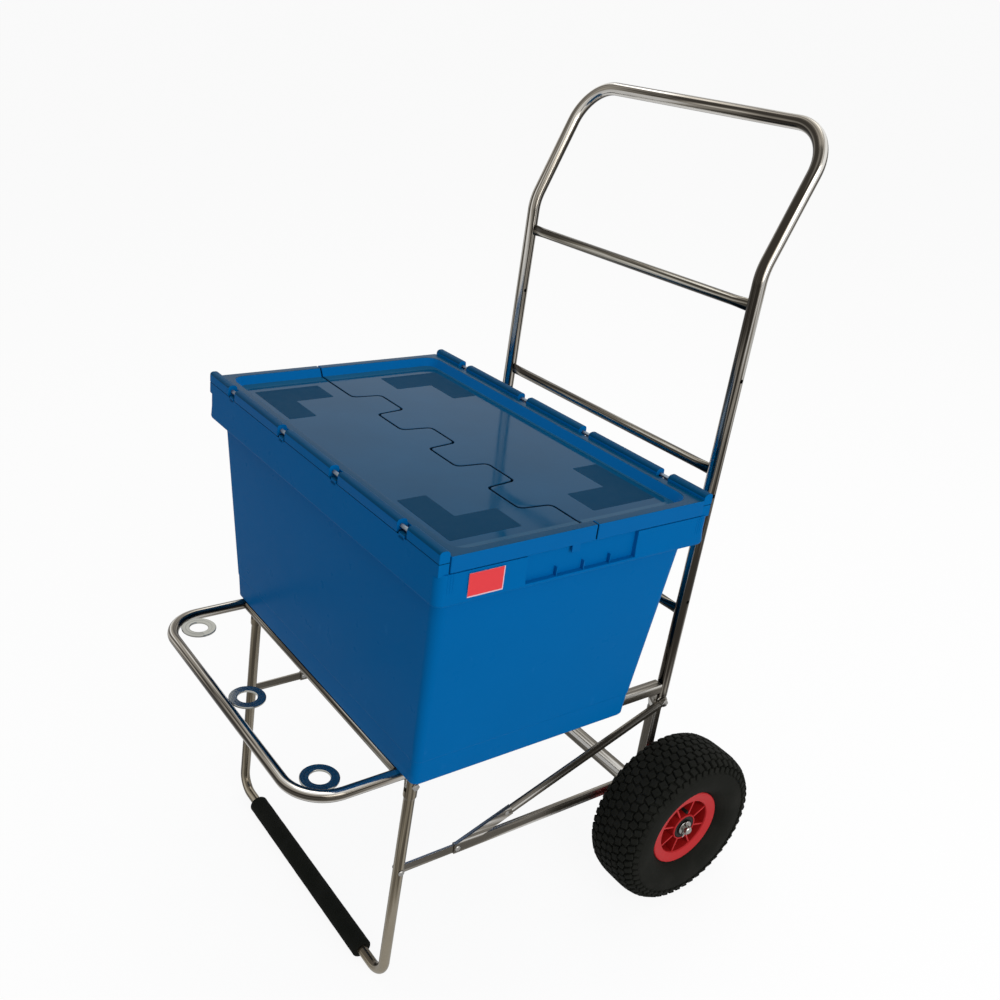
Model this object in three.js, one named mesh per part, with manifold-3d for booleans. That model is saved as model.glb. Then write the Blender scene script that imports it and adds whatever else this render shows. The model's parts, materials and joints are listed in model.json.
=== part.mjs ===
// A two-wheeled fishing trolley: a bent tube frame with a stepped handle, a front loop with three rod
// rings, a fixed front leg with a foam foot, two pneumatic wheels and a lift-off crate with two hinged lids.
// Millimetres, +Z up, X along the wheel axle, -Y towards the front loop, +Y towards the handle.
import * as THREE from 'three';
import { mergeVertices } from 'three/addons/utils/BufferGeometryUtils.js';
import Module from 'manifold-3d';

const wasm = await Module();
wasm.setup();

// Clearances
const seatGap = 0.3;
const holeClearance = 0.3;
const cutOverrun = 2;
const mergeTolerance = 1e-4;

// Facets of round shapes
const tubeFacets = 12;
const boltFacets = 10;
const holeFacets = 12;
const pinFacets = 8;
const barrelFacets = 16;
const roundFacets = 20;
const ringFacets = 28;

// Frame tubes and bars
const frameHalfWidth = 227;
const handleTubeDiameter = 18;
const loopTubeDiameter = 16;
const legTubeDiameter = 15;
const rungDiameter = 12;
const roundTubeWall = 1.5;
const squareTubeSize = 15;
const squareTubeWall = 1.5;
const barHeight = 13;
const barThickness = 3;

// Platform, in its own plane: y = 0 under the middle of the crate, z = 0 on the tubes' centreline
const loopFrontY = -299;
const loopBendRadius = 55;
const railFrontY = -156;
const crossBarY = { front: -166, middle: 20, rear: 190 };

// Handle
const handleBaseY = 284;
const handleBaseZ = -16;
const handleLeanDegrees = 1.3;
const handleTopLeanDegrees = 25;
const handleStraightLength = 617;
const handleTopLength = 185;
const handleKinkRadius = 70;
const handleCornerRadius = 58;
const rungHeights = { low: 139, middle: 353, high: 574 };
const rungFlattenLength = 26;
const rungFlatThickness = 5;
const rungFlatHeight = 16;
const handleHoleHeights = [158, 320, 480];
const handleHoleDiameter = 5;

// Front leg
const legPivotY = -146;
const legPivotDrop = 21;
const footY = -161;
const footZ = -352;
const legBendRadius = 28;
const legForkDiameter = 18;
const legForkLength = 34;
const legForkTopInset = 11;
const tabThickness = 4;
const tabWidth = 20;
const foamDiameter = 26;
const foamLength = 344;

// Side stays
const stayRivetDiameter = 5;
const rivetHeadDiameter = 9;
const rivetHeadHeight = 2;
const linkPivotDrop = 161.5;
const stayJointY = -60;
const stayJointZ = -162;
const socketLength = 92;
const socketFrontOverhang = 6;
const socketWall = 1;
const socketPinInset = 8;
const socketDepth = 38;
const railMeetsPostZ = -163;

// Rear posts and the knuckles that carry them
const postInsetX = 2.5;
const postY = 279;
const knuckleDiameter = 20;
const knuckleBoltDiameter = 6;
const knuckleBoltHeadAcross = 10;
const knuckleBoltHeadHeight = 4;
const gussetLength = 24;
const gussetDepth = 40;

// Axle
const axleY = 279;
const axleZ = -186.5;
const axleDiameter = 12;
const beamSize = 18;
const beamWall = 2.5;
const axleEndPastHub = 10;
const washerOuterDiameter = 24;
const washerThickness = 1.5;
const splitPinDiameter = 2.4;
const splitPinLength = 22;
const splitPinEyeDiameter = 7;

// Wheels
const wheelOffset = 70;
const tyreDiameter = 250;
const tyreWidth = 90;
const tyreWall = 7;
const treadWidth = 74;
const shoulderDrop = 6;
const grooveWidth = 4;
const grooveDepth = 4;
const grooveOffset = 12;
const rimFlangeDiameter = 121;
const rimWidth = 64;
const rimFlangeThickness = 4;
const rimFaceInnerDiameter = 88;
const rimSeatDiameter = 101.6;
const rimBarrelThickness = 4;
const rimWebThickness = 8;
const hubDiameter = 42;
const hubWall = 2.4;
const hubLength = 60;
const ribCount = 8;
const ribThickness = 3;
const ribInset = 4;
const valveDiameter = 6;
const valveCapShare = 0.7;
const wheelSegments = 28;
const boreSegments = 16;

// Rod rings
const ringDiameter = 50;
const ringHoleDiameter = 27;
const ringThickness = 3;
const ringBendShare = 0.4;

// Crate
const crateOffsetX = 10;
const crateHalfLength = 300;
const crateHalfWidth = 200;
const crateHeight = 340;
const crateBaseHalfLength = 254;
const crateBaseHalfWidth = 171;
const crateShoulderHalfLength = 283;
const crateShoulderHalfWidth = 185;
const crateShoulderDrop = 70;
const crateBandDrop = 58;
const crateRimDrop = 21;
const crateWall = 3;
const crateFloor = 4;
const crateFloorChamfer = 4;
const crateCornerRadius = 14;
const crateLedgeWidth = 20;
const crateLedgeThickness = 4;
const crateCornerSteps = 3;
const upstandHeight = 12;
const gripHalfLength = 85;
const gripDepth = 8;
const gripDrop = 34;
const labelLength = 46;
const labelHeight = 25;
const labelThickness = 0.8;
const labelY = -140;
const labelDrop = 18;

// Lids
const hingeInset = 6;
const hingeDrop = 1;
const hingeRadius = 8;
const hingeRodDiameter = 5;
const knuckleGapX = [68, 222];
const knuckleGapWidth = 20;
const hingeClearance = 0.6;
const lidFrameWidth = 12;
const lidLipWidth = 4;
const lidPanelDrop = 12;
const lidPanelThickness = 4;
const lidSeamGap = 3.2;
const seamY = 8;
const tongueDepth = 37;
const tonguePitch = 131;
const tongueCount = 4;
const firstTongueX = -212;
const tongueWidth = 56;
const tongueSlope = 12;
const lidWebThickness = 5;

// Finishes
function finish(color, roughness, metalness) {
  return new THREE.MeshStandardMaterial({ color, roughness, metalness });
}

const steel = finish(0xc9c6bf, 0.16, 1);
const zinc = finish(0xb9bab8, 0.35, 1);
const crateBlue = finish(0x0062a8, 0.38, 0);
const lidBlue = finish(0x1f5f97, 0.22, 0);
const labelRed = finish(0xe13c46, 0.5, 0);
const rimRed = finish(0xbe3230, 0.4, 0);
const tyreBlack = finish(0x1e201c, 0.85, 0);
const sealBlack = finish(0x141513, 0.6, 0);
const foamBlack = finish(0x0f120c, 0.95, 0);

// Directions
const across = new THREE.Vector3(1, 0, 0);
const sides = [{ name: 'left', sign: -1 }, { name: 'right', sign: 1 }];

// Solids: closed meshes that can be joined and cut
function toSolid(geometry) {
  const bare = geometry.clone();
  bare.deleteAttribute('normal');
  bare.deleteAttribute('uv');
  const merged = mergeVertices(bare, mergeTolerance);
  const corners = Array.from(merged.index.array);
  if (signedVolume(merged) < 0) {
    corners.reverse();
  }
  const mesh = new wasm.Mesh({
    numProp: 3,
    vertProperties: new Float32Array(merged.attributes.position.array),
    triVerts: new Uint32Array(corners),
  });
  return new wasm.Manifold(mesh);
}

function signedVolume(geometry) {
  const places = geometry.attributes.position;
  const corners = geometry.index.array;
  const a = new THREE.Vector3();
  const b = new THREE.Vector3();
  const c = new THREE.Vector3();
  let volume = 0;
  for (let i = 0; i < corners.length; i += 3) {
    a.fromBufferAttribute(places, corners[i]);
    b.fromBufferAttribute(places, corners[i + 1]);
    c.fromBufferAttribute(places, corners[i + 2]);
    volume += a.dot(b.cross(c)) / 6;
  }
  return volume;
}

function toGeometry(solid) {
  const mesh = solid.getMesh();
  const geometry = new THREE.BufferGeometry();
  geometry.setAttribute('position', new THREE.BufferAttribute(new Float32Array(mesh.vertProperties), 3));
  geometry.setIndex(new THREE.BufferAttribute(new Uint32Array(mesh.triVerts), 1));
  geometry.computeVertexNormals();
  return geometry;
}

function join(solids) {
  return solids.reduce((whole, solid) => whole.add(solid));
}

function addPiece(parent, name, solid, material) {
  const mesh = new THREE.Mesh(toGeometry(solid), material);
  mesh.name = name;
  parent.add(mesh);
  return mesh;
}

// Basic shapes
function box(sizeX, sizeY, sizeZ, centre) {
  return toSolid(new THREE.BoxGeometry(sizeX, sizeY, sizeZ).translate(centre.x, centre.y, centre.z));
}

function boxBetween(low, high) {
  const size = high.clone().sub(low);
  const centre = low.clone().add(high).multiplyScalar(0.5);
  return box(size.x, size.y, size.z, centre);
}

function cylinderAlongX(radius, fromX, toX, y, z, segments = barrelFacets) {
  const geometry = new THREE.CylinderGeometry(radius, radius, toX - fromX, segments);
  geometry.rotateY(Math.PI / segments);
  geometry.rotateZ(Math.PI / 2);
  geometry.translate((fromX + toX) / 2, y, z);
  return toSolid(geometry);
}

function cylinderAlongZ(radius, fromZ, toZ, x, y, segments = barrelFacets) {
  const geometry = new THREE.CylinderGeometry(radius, radius, toZ - fromZ, segments);
  geometry.rotateX(Math.PI / 2);
  geometry.translate(x, y, (fromZ + toZ) / 2);
  return toSolid(geometry);
}

function polygon(radius, count) {
  const points = [];
  for (let i = 0; i < count; i += 1) {
    const angle = (2 * Math.PI * (i + 0.5)) / count;
    points.push(new THREE.Vector2(radius * Math.cos(angle), radius * Math.sin(angle)));
  }
  return points;
}

// A line through corner points with each corner rounded, sampled only where it bends
class BentLine extends THREE.Curve {
  constructor(corners, radii, stepsPerBend = 6) {
    super();
    this.places = [corners[0].clone()];
    this.directions = [corners[1].clone().sub(corners[0]).normalize()];
    for (let i = 1; i < corners.length - 1; i += 1) {
      this.addBend(corners[i - 1], corners[i], corners[i + 1], radii[i - 1], stepsPerBend);
    }
    this.places.push(corners.at(-1).clone());
    this.directions.push(this.directions.at(-1).clone());
  }

  addBend(before, corner, after, radius, steps) {
    const incoming = corner.clone().sub(before).normalize();
    const outgoing = after.clone().sub(corner).normalize();
    const turn = incoming.angleTo(outgoing);
    const axis = incoming.clone().cross(outgoing).normalize();
    const toStart = radius * Math.tan(turn / 2);
    const start = corner.clone().addScaledVector(incoming, -toStart);
    const centre = start.clone().addScaledVector(axis.clone().cross(incoming), radius);
    const spoke = start.clone().sub(centre);
    for (let step = 0; step <= steps; step += 1) {
      const angle = (turn * step) / steps;
      this.places.push(spoke.clone().applyAxisAngle(axis, angle).add(centre));
      this.directions.push(incoming.clone().applyAxisAngle(axis, angle));
    }
  }

  get steps() {
    return this.places.length - 1;
  }

  nearest(t) {
    return Math.min(this.steps, Math.max(0, Math.round(t * this.steps)));
  }

  getPoint(t, target = new THREE.Vector3()) {
    return target.copy(this.places[this.nearest(t)]);
  }

  getTangent(t, target = new THREE.Vector3()) {
    return target.copy(this.directions[this.nearest(t)]);
  }

  getUtoTmapping(u) {
    return u;
  }
}

function tubeSection(diameter, wall) {
  const section = new THREE.Shape(polygon(diameter / 2, tubeFacets));
  section.holes.push(new THREE.Path(polygon(diameter / 2 - wall, tubeFacets)));
  return section;
}

function roundTube(line, diameter, wall) {
  const options = { steps: line.steps, extrudePath: line, curveSegments: 1 };
  return toSolid(new THREE.ExtrudeGeometry(tubeSection(diameter, wall), options));
}

function straightLine(from, to) {
  return new BentLine([from, to], []);
}

function rectangle(width, height) {
  return [
    new THREE.Vector2(-width / 2, -height / 2),
    new THREE.Vector2(width / 2, -height / 2),
    new THREE.Vector2(width / 2, height / 2),
    new THREE.Vector2(-width / 2, height / 2),
  ];
}

// A straight square tube, open at both ends
function squareTube(from, to, size, wall) {
  const section = new THREE.Shape(rectangle(size, size));
  section.holes.push(new THREE.Path(rectangle(size - 2 * wall, size - 2 * wall)));
  const length = from.distanceTo(to);
  const geometry = new THREE.ExtrudeGeometry(section, { depth: length, bevelEnabled: false });
  return toSolid(geometry.applyMatrix4(alongMatrix(from, to)));
}

// A flat bar standing on edge, between two points
function flatBar(from, to, thickness, height) {
  const section = new THREE.Shape(rectangle(thickness, height));
  const length = from.distanceTo(to);
  const geometry = new THREE.ExtrudeGeometry(section, { depth: length, bevelEnabled: false });
  return toSolid(geometry.applyMatrix4(alongMatrix(from, to)));
}

// Carries a section drawn in X and Y, extruded along Z, onto the line between two points
function alongMatrix(from, to) {
  const along = to.clone().sub(from).normalize();
  const runsAcross = Math.abs(along.x) > Math.SQRT1_2;
  const width = runsAcross ? new THREE.Vector3(0, 1, 0) : across.clone();
  const height = along.clone().cross(width).normalize();
  const squareWidth = height.clone().cross(along);
  return new THREE.Matrix4().makeBasis(squareWidth, height, along).setPosition(from);
}

function pointAlong(from, to, distance) {
  return from.clone().addScaledVector(to.clone().sub(from).normalize(), distance);
}

// A bolt along X with a hexagonal head at one end and a nut at the other
function hexBolt(radius, headAcross, headHeight, fromX, toX, y, z) {
  const headSides = 6;
  const headRadius = headAcross / 2 / Math.cos(Math.PI / headSides);
  return join([
    cylinderAlongX(radius, fromX - headHeight, toX + headHeight, y, z, boltFacets),
    cylinderAlongX(headRadius, fromX - headHeight, fromX, y, z, headSides),
    cylinderAlongX(headRadius, toX, toX + headHeight, y, z, headSides),
  ]);
}

// A rivet along X with a low head on each side
function rivet(fromX, toX, y, z) {
  const headRadius = rivetHeadDiameter / 2;
  const shankRadius = stayRivetDiameter / 2;
  return join([
    cylinderAlongX(shankRadius, fromX - rivetHeadHeight, toX + rivetHeadHeight, y, z, boltFacets),
    cylinderAlongX(headRadius, fromX - rivetHeadHeight, fromX, y, z, tubeFacets),
    cylinderAlongX(headRadius, toX, toX + rivetHeadHeight, y, z, tubeFacets),
  ]);
}

// Places that several pieces share
const handleLean = THREE.MathUtils.degToRad(handleLeanDegrees);
const handleTopLean = THREE.MathUtils.degToRad(handleTopLeanDegrees);
const handleDirection = new THREE.Vector3(0, Math.sin(handleLean), Math.cos(handleLean));
const handleTopDirection = new THREE.Vector3(0, Math.sin(handleTopLean), Math.cos(handleTopLean));
const legDirection = new THREE.Vector3(0, footY - legPivotY, footZ + legPivotDrop).normalize();
const knuckleZ = handleBaseZ - seatGap - knuckleDiameter / 2;
const postX = frameHalfWidth - postInsetX;
const knuckleOuterX = postX + squareTubeSize / 2;
const knuckleInnerX = postX - squareTubeSize / 2;
const diagonalRearX = knuckleOuterX + seatGap + barThickness / 2;
const railRearY = handleBaseY - handleTubeDiameter / 2 - seatGap;
const wheelX = frameHalfWidth + wheelOffset;
const crateBottomZ = squareTubeSize / 2 + seatGap;
const crateTopZ = crateBottomZ + crateHeight;
const crateShoulderHeight = crateHeight - crateShoulderDrop;
const crateBandHeight = crateHeight - crateBandDrop;
const crateRimHeight = crateHeight - crateRimDrop;
const crateRimZ = crateBottomZ + crateRimHeight;
const hingeY = crateHalfWidth - hingeInset;
const hingeZ = crateTopZ - hingeDrop;
const lidEdgeY = hingeY - hingeRadius - hingeClearance;

function sidePoint(sign, x, y, z) {
  return new THREE.Vector3(sign * x, y, z);
}

function onHandle(distance, x = 0) {
  return new THREE.Vector3(x, handleBaseY, handleBaseZ).addScaledVector(handleDirection, distance);
}

// Handle: one bent tube with plug-weld holes, and three rungs with pressed ends
function addHandle(frame) {
  const kink = handleStraightLength;
  const left = onHandle(kink, -frameHalfWidth);
  const right = onHandle(kink, frameHalfWidth);
  const corners = [
    onHandle(0, -frameHalfWidth),
    left,
    left.clone().addScaledVector(handleTopDirection, handleTopLength),
    right.clone().addScaledVector(handleTopDirection, handleTopLength),
    right,
    onHandle(0, frameHalfWidth),
  ];
  const radii = [handleKinkRadius, handleCornerRadius, handleCornerRadius, handleKinkRadius];
  let tube = roundTube(new BentLine(corners, radii, 4), handleTubeDiameter, roundTubeWall);
  for (const height of handleHoleHeights) {
    const place = onHandle(height);
    const reach = frameHalfWidth + handleTubeDiameter;
    tube = tube.subtract(cylinderAlongX(handleHoleDiameter / 2, -reach, reach, place.y, place.z, pinFacets));
  }
  addPiece(frame, 'handle_tube', tube, steel);
  for (const [name, height] of Object.entries(rungHeights)) {
    addPiece(frame, `handle_rung_${name}`, pressedRung(onHandle(height)), steel);
  }
}

// A round tube along X whose ends are pressed flat and upright against the handle tubes
function pressedRung(centre) {
  const halfLength = frameHalfWidth - handleTubeDiameter / 2 - seatGap;
  const endShares = [0, 0.35, 1];
  const levels = endShares.map((share) => -halfLength + share * rungFlattenLength);
  const stations = [...levels, ...levels.map((x) => -x).reverse()];
  const steps = stations.length - 1;
  const section = tubeSection(rungDiameter, roundTubeWall);
  const geometry = new THREE.ExtrudeGeometry(section, { depth: steps, steps, bevelEnabled: false });
  const places = geometry.attributes.position;
  for (let i = 0; i < places.count; i += 1) {
    const x = stations[Math.round(places.getZ(i))];
    const pressed = THREE.MathUtils.smoothstep(Math.abs(x), halfLength - rungFlattenLength, halfLength);
    const widthShare = THREE.MathUtils.lerp(1, rungFlatThickness / rungDiameter, pressed);
    const heightShare = THREE.MathUtils.lerp(1, rungFlatHeight / rungDiameter, pressed);
    places.setXYZ(i, x, centre.y + places.getX(i) * widthShare, centre.z + places.getY(i) * heightShare);
  }
  return toSolid(geometry);
}

// Platform: front loop, side rails and cross bars
function addPlatform(frame) {
  const loopBackY = railFrontY - seatGap;
  const loopLine = new BentLine([
    new THREE.Vector3(-frameHalfWidth, loopBackY, 0),
    new THREE.Vector3(-frameHalfWidth, loopFrontY, 0),
    new THREE.Vector3(frameHalfWidth, loopFrontY, 0),
    new THREE.Vector3(frameHalfWidth, loopBackY, 0),
  ], [loopBendRadius, loopBendRadius], 5);
  addPiece(frame, 'loop_tube', roundTube(loopLine, loopTubeDiameter, roundTubeWall), steel);
  for (const side of sides) {
    const front = sidePoint(side.sign, frameHalfWidth, railFrontY, 0);
    const rear = sidePoint(side.sign, frameHalfWidth, railRearY, 0);
    const rail = squareTube(front, rear, squareTubeSize, squareTubeWall).add(gusset(side.sign));
    addPiece(frame, `side_rail_${side.name}`, rail, steel);
  }
  for (const [name, y] of Object.entries(crossBarY)) {
    const sideSize = y < railFrontY ? loopTubeDiameter : squareTubeSize;
    const barEndX = frameHalfWidth - sideSize / 2 - seatGap;
    const line = straightLine(new THREE.Vector3(-barEndX, y, 0), new THREE.Vector3(barEndX, y, 0));
    addPiece(frame, `cross_bar_${name}`, roundTube(line, rungDiameter, roundTubeWall), steel);
  }
}

// The web under a rail's rear end, in front of the post
function gusset(sign) {
  const top = -squareTubeSize / 2 + squareTubeWall / 2;
  const rear = postY - squareTubeSize / 2 - seatGap;
  const outline = new THREE.Shape([
    new THREE.Vector2(rear - gussetLength, top),
    new THREE.Vector2(rear - gussetLength / 4, top - gussetLength / 3),
    new THREE.Vector2(rear, -gussetDepth),
    new THREE.Vector2(rear, top),
  ]);
  const innerX = sign * (frameHalfWidth - squareTubeSize / 2);
  const outerX = sign * knuckleOuterX;
  const depth = Math.abs(outerX - innerX);
  const plate = new THREE.ExtrudeGeometry(outline, { depth, bevelEnabled: false });
  plate.rotateX(Math.PI / 2);
  plate.rotateZ(Math.PI / 2);
  plate.translate(Math.min(innerX, outerX), 0, 0);
  return toSolid(plate);
}

// Rod rings: flat washers against the inside of the loop tube, in its bends and at its middle
function addRodRings(frame) {
  const toTube = loopTubeDiameter / 2 + seatGap + ringDiameter / 2;
  const fromBendCentre = loopBendRadius - toTube;
  const turn = (ringBendShare * Math.PI) / 2;
  const sideX = frameHalfWidth - loopBendRadius + fromBendCentre * Math.cos(turn);
  const sideY = loopFrontY + loopBendRadius - fromBendCentre * Math.sin(turn);
  const places = [
    { name: 'left', x: -sideX, y: sideY },
    { name: 'middle', x: 0, y: loopFrontY + toTube },
    { name: 'right', x: sideX, y: sideY },
  ];
  for (const { name, x, y } of places) {
    const top = ringThickness / 2;
    const disc = cylinderAlongZ(ringDiameter / 2, -top, top, x, y, ringFacets);
    const hole = cylinderAlongZ(ringHoleDiameter / 2, -ringThickness, ringThickness, x, y, roundFacets);
    addPiece(frame, `rod_ring_${name}`, disc.subtract(hole), steel);
  }
}

// Front leg: a bent tube whose upper ends are forks round the platform's tabs
function addFrontLeg(frame) {
  const pivot = (sign) => sidePoint(sign, frameHalfWidth, legPivotY, -legPivotDrop);
  const forkTop = (sign) => pivot(sign).addScaledVector(legDirection, -legForkTopInset);
  const corners = [
    pointAlong(forkTop(-1), sidePoint(-1, frameHalfWidth, footY, footZ), legForkLength / 2),
    sidePoint(-1, frameHalfWidth, footY, footZ),
    sidePoint(1, frameHalfWidth, footY, footZ),
    pointAlong(forkTop(1), sidePoint(1, frameHalfWidth, footY, footZ), legForkLength / 2),
  ];
  const line = new BentLine(corners, [legBendRadius, legBendRadius], 4);
  let leg = roundTube(line, legTubeDiameter, roundTubeWall);
  for (const side of sides) {
    leg = addLegEnd(leg, side.sign, forkTop(side.sign), pivot(side.sign));
  }
  addPiece(frame, 'leg_tube', leg, steel);

  const tabTopZ = -squareTubeSize / 2 - seatGap;
  const tabRadius = tabWidth / 2;
  for (const side of sides) {
    const centreX = side.sign * frameHalfWidth;
    const low = new THREE.Vector3(centreX - tabThickness / 2, legPivotY - tabRadius, -legPivotDrop);
    const high = new THREE.Vector3(centreX + tabThickness / 2, legPivotY + tabRadius, tabTopZ);
    const rounded = cylinderAlongX(tabRadius, low.x, high.x, legPivotY, -legPivotDrop, roundFacets);
    const hole = boltHole(centreX, legPivotY, -legPivotDrop);
    const tab = boxBetween(low, high).add(rounded).subtract(hole);
    addPiece(frame, `leg_tab_${side.name}`, tab, steel);

    const grip = legForkDiameter / 2 + seatGap;
    const bolt = hexBolt(stayRivetDiameter / 2, rivetHeadDiameter, rivetHeadHeight + seatGap,
      centreX - grip, centreX + grip, legPivotY, -legPivotDrop);
    addPiece(frame, `leg_bolt_${side.name}`, bolt, zinc);
  }

  const halfFoam = foamLength / 2;
  const foam = cylinderAlongX(foamDiameter / 2, -halfFoam, halfFoam, 0, 0);
  const reach = halfFoam + cutOverrun;
  const bore = cylinderAlongX(legTubeDiameter / 2 + seatGap, -reach, reach, 0, 0);
  addPiece(frame, 'foot_foam', standing(foam.subtract(bore), footY, footZ), foamBlack);
}

// The fork, its slot and bolt hole, and the slot and rivet hole for the link bar
function addLegEnd(leg, sign, forkTop, pivot) {
  const forkBottom = forkTop.clone().addScaledVector(legDirection, legForkLength);
  const section = new THREE.Shape(polygon(legForkDiameter / 2, barrelFacets));
  const bar = new THREE.ExtrudeGeometry(section, { depth: legForkLength, bevelEnabled: false });
  const fork = toSolid(bar.applyMatrix4(alongMatrix(forkTop, forkBottom)));
  const slotWidth = tabThickness + 2 * seatGap;
  const slotFloorZ = pivot.z - tabWidth / 2 - seatGap;
  const slot = boxBetween(
    new THREE.Vector3(pivot.x - slotWidth / 2, pivot.y - legForkDiameter, slotFloorZ),
    new THREE.Vector3(pivot.x + slotWidth / 2, pivot.y + legForkDiameter, forkTop.z + legForkDiameter),
  );
  const link = linkPlace(sign);
  const halfWidth = barThickness / 2 + seatGap;
  const halfHeight = barHeight / 2 + seatGap;
  const slotFrontY = link.y - linkReach() - seatGap;
  const linkSlot = boxBetween(
    new THREE.Vector3(link.x - halfWidth, slotFrontY, link.z - halfHeight),
    new THREE.Vector3(link.x + halfWidth, link.y + legTubeDiameter, link.z + halfHeight),
  );
  return leg.add(fork)
    .subtract(slot)
    .subtract(boltHole(pivot.x, pivot.y, pivot.z))
    .subtract(linkSlot)
    .subtract(boltHole(link.x, link.y, link.z));
}

function boltHole(x, y, z) {
  const radius = stayRivetDiameter / 2 + holeClearance;
  return cylinderAlongX(radius, x - legForkDiameter, x + legForkDiameter, y, z, holeFacets);
}

// Where the link bar's rivet crosses the leg
function linkPlace(sign) {
  const distance = (linkPivotDrop - legPivotDrop) / -legDirection.z;
  return sidePoint(sign, frameHalfWidth, legPivotY, -legPivotDrop).addScaledVector(legDirection, distance);
}

// How far the link bar reaches past its rivet inside the leg tube
function linkReach() {
  const innerRadius = legTubeDiameter / 2 - roundTubeWall;
  return Math.sqrt(innerRadius ** 2 - (barThickness / 2 + seatGap) ** 2) - seatGap;
}

// Turns a solid made about the X axis so that its lowest flat lies on the floor, and places it
function standing(solid, y, z) {
  const turned = solid.rotate([THREE.MathUtils.radToDeg(frameLean()), 0, 0]);
  return turned.translate([0, y, z]);
}

// The angle by which the platform leans back when the foam foot and both wheels touch the floor
function frameLean() {
  const rise = axleZ - footZ;
  const run = axleY - footY;
  const wheelRest = (tyreDiameter / 2) * Math.cos(Math.PI / wheelSegments);
  const footRest = (foamDiameter / 2) * Math.cos(Math.PI / barrelFacets);
  return Math.atan2(rise, run) - Math.asin((wheelRest - footRest) / Math.hypot(rise, run));
}

// Side stays: link bar, lower rail with its socket, and diagonal
function addSideStays(frame, side) {
  const sign = side.sign;
  const link = linkPlace(sign);
  const joint = sidePoint(sign, frameHalfWidth, stayJointY, stayJointZ);
  const railEnd = sidePoint(sign, frameHalfWidth, postY - squareTubeSize / 2 - seatGap, railMeetsPostZ);
  const knuckle = sidePoint(sign, diagonalRearX, handleBaseY, knuckleZ);

  const linkFront = pointAlong(link, joint, -linkReach());
  const linkRear = pointAlong(joint, link, -socketPinInset);
  const linkBar = flatBar(linkFront, linkRear, barThickness, barHeight);
  const linkHoles = boltHole(link.x, link.y, link.z).add(boltHole(joint.x, joint.y, joint.z));
  addPiece(frame, `link_bar_${side.name}`, linkBar.subtract(linkHoles), steel);

  const pocketWidth = barThickness + 2 * seatGap;
  const pocketHeight = barHeight + 2 * seatGap;
  const socketWidth = pocketWidth + 2 * socketWall;
  const socketHeight = pocketHeight + 2 * socketWall;
  const railFront = pointAlong(joint, railEnd, -socketFrontOverhang);
  const stubEnd = pointAlong(joint, knuckle, socketLength);
  const rail = flatBar(railFront, railEnd, socketWidth, socketHeight);
  const stub = flatBar(joint, stubEnd, socketWidth, socketHeight);
  const pocketFront = pointAlong(joint, link, -socketPinInset - seatGap);
  const linkPocket = flatBar(pocketFront, link, pocketWidth, pocketHeight);
  const diagonalStart = pointAlong(joint, knuckle, socketLength - socketDepth);
  const pocketStart = pointAlong(diagonalStart, joint, seatGap);
  const diagonalPocket = flatBar(pocketStart, knuckle, pocketWidth, pocketHeight);
  const pin = pointAlong(joint, knuckle, socketLength - socketPinInset);
  const pinHole = boltHole(pin.x, pin.y, pin.z);
  const socketHoles = boltHole(joint.x, joint.y, joint.z).add(pinHole);
  const lower = rail.add(stub).subtract(linkPocket).subtract(diagonalPocket).subtract(socketHoles);
  addPiece(frame, `lower_rail_${side.name}`, lower, steel);

  const eyeFrom = knuckle.x - barThickness / 2;
  const eyeTo = knuckle.x + barThickness / 2;
  const eye = cylinderAlongX(socketHeight / 2, eyeFrom, eyeTo, knuckle.y, knuckle.z);
  const tongue = flatBar(diagonalStart, knuckle, barThickness, barHeight);
  const barStart = pointAlong(stubEnd, knuckle, seatGap);
  const wholeBar = flatBar(barStart, knuckle, barThickness, socketHeight).add(tongue).add(eye);
  const diagonal = wholeBar.subtract(knuckleHole(eyeFrom, eyeTo)).subtract(pinHole);
  addPiece(frame, `diagonal_${side.name}`, diagonal, steel);

  const legGrip = legTubeDiameter / 2 + seatGap;
  const linkRivet = rivet(link.x - legGrip, link.x + legGrip, link.y, link.z);
  addPiece(frame, `link_rivet_${side.name}`, linkRivet, zinc);
  const socketGrip = socketWidth / 2 + seatGap;
  const jointRivet = rivet(joint.x - socketGrip, joint.x + socketGrip, joint.y, joint.z);
  addPiece(frame, `joint_rivet_${side.name}`, jointRivet, zinc);
  const socketRivet = rivet(pin.x - socketGrip, pin.x + socketGrip, pin.y, pin.z);
  addPiece(frame, `socket_rivet_${side.name}`, socketRivet, zinc);
}

function knuckleHole(fromX, toX) {
  const radius = knuckleBoltDiameter / 2 + holeClearance;
  return cylinderAlongX(radius, fromX - cutOverrun, toX + cutOverrun, handleBaseY, knuckleZ, holeFacets);
}

// Rear corner: post, knuckle and bolt
function addRearCorner(frame, side) {
  const sign = side.sign;
  const postTop = sidePoint(sign, postX, postY, knuckleZ - knuckleDiameter / 2 - seatGap);
  const postBottom = sidePoint(sign, postX, postY, axleZ + beamSize / 2 + seatGap);
  const post = squareTube(postBottom, postTop, squareTubeSize, squareTubeWall);
  addPiece(frame, `rear_post_${side.name}`, post, steel);

  const nearX = Math.min(sign * knuckleInnerX, sign * knuckleOuterX);
  const farX = Math.max(sign * knuckleInnerX, sign * knuckleOuterX);
  const barrel = cylinderAlongX(knuckleDiameter / 2, nearX, farX, handleBaseY, knuckleZ, roundFacets);
  addPiece(frame, `knuckle_${side.name}`, barrel.subtract(knuckleHole(nearX, farX)), steel);

  const outerX = sign * (diagonalRearX + barThickness / 2 + seatGap);
  const innerX = sign * (knuckleInnerX - seatGap);
  const bolt = hexBolt(knuckleBoltDiameter / 2, knuckleBoltHeadAcross, knuckleBoltHeadHeight,
    Math.min(outerX, innerX), Math.max(outerX, innerX), handleBaseY, knuckleZ);
  addPiece(frame, `knuckle_bolt_${side.name}`, bolt, zinc);
}

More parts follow.
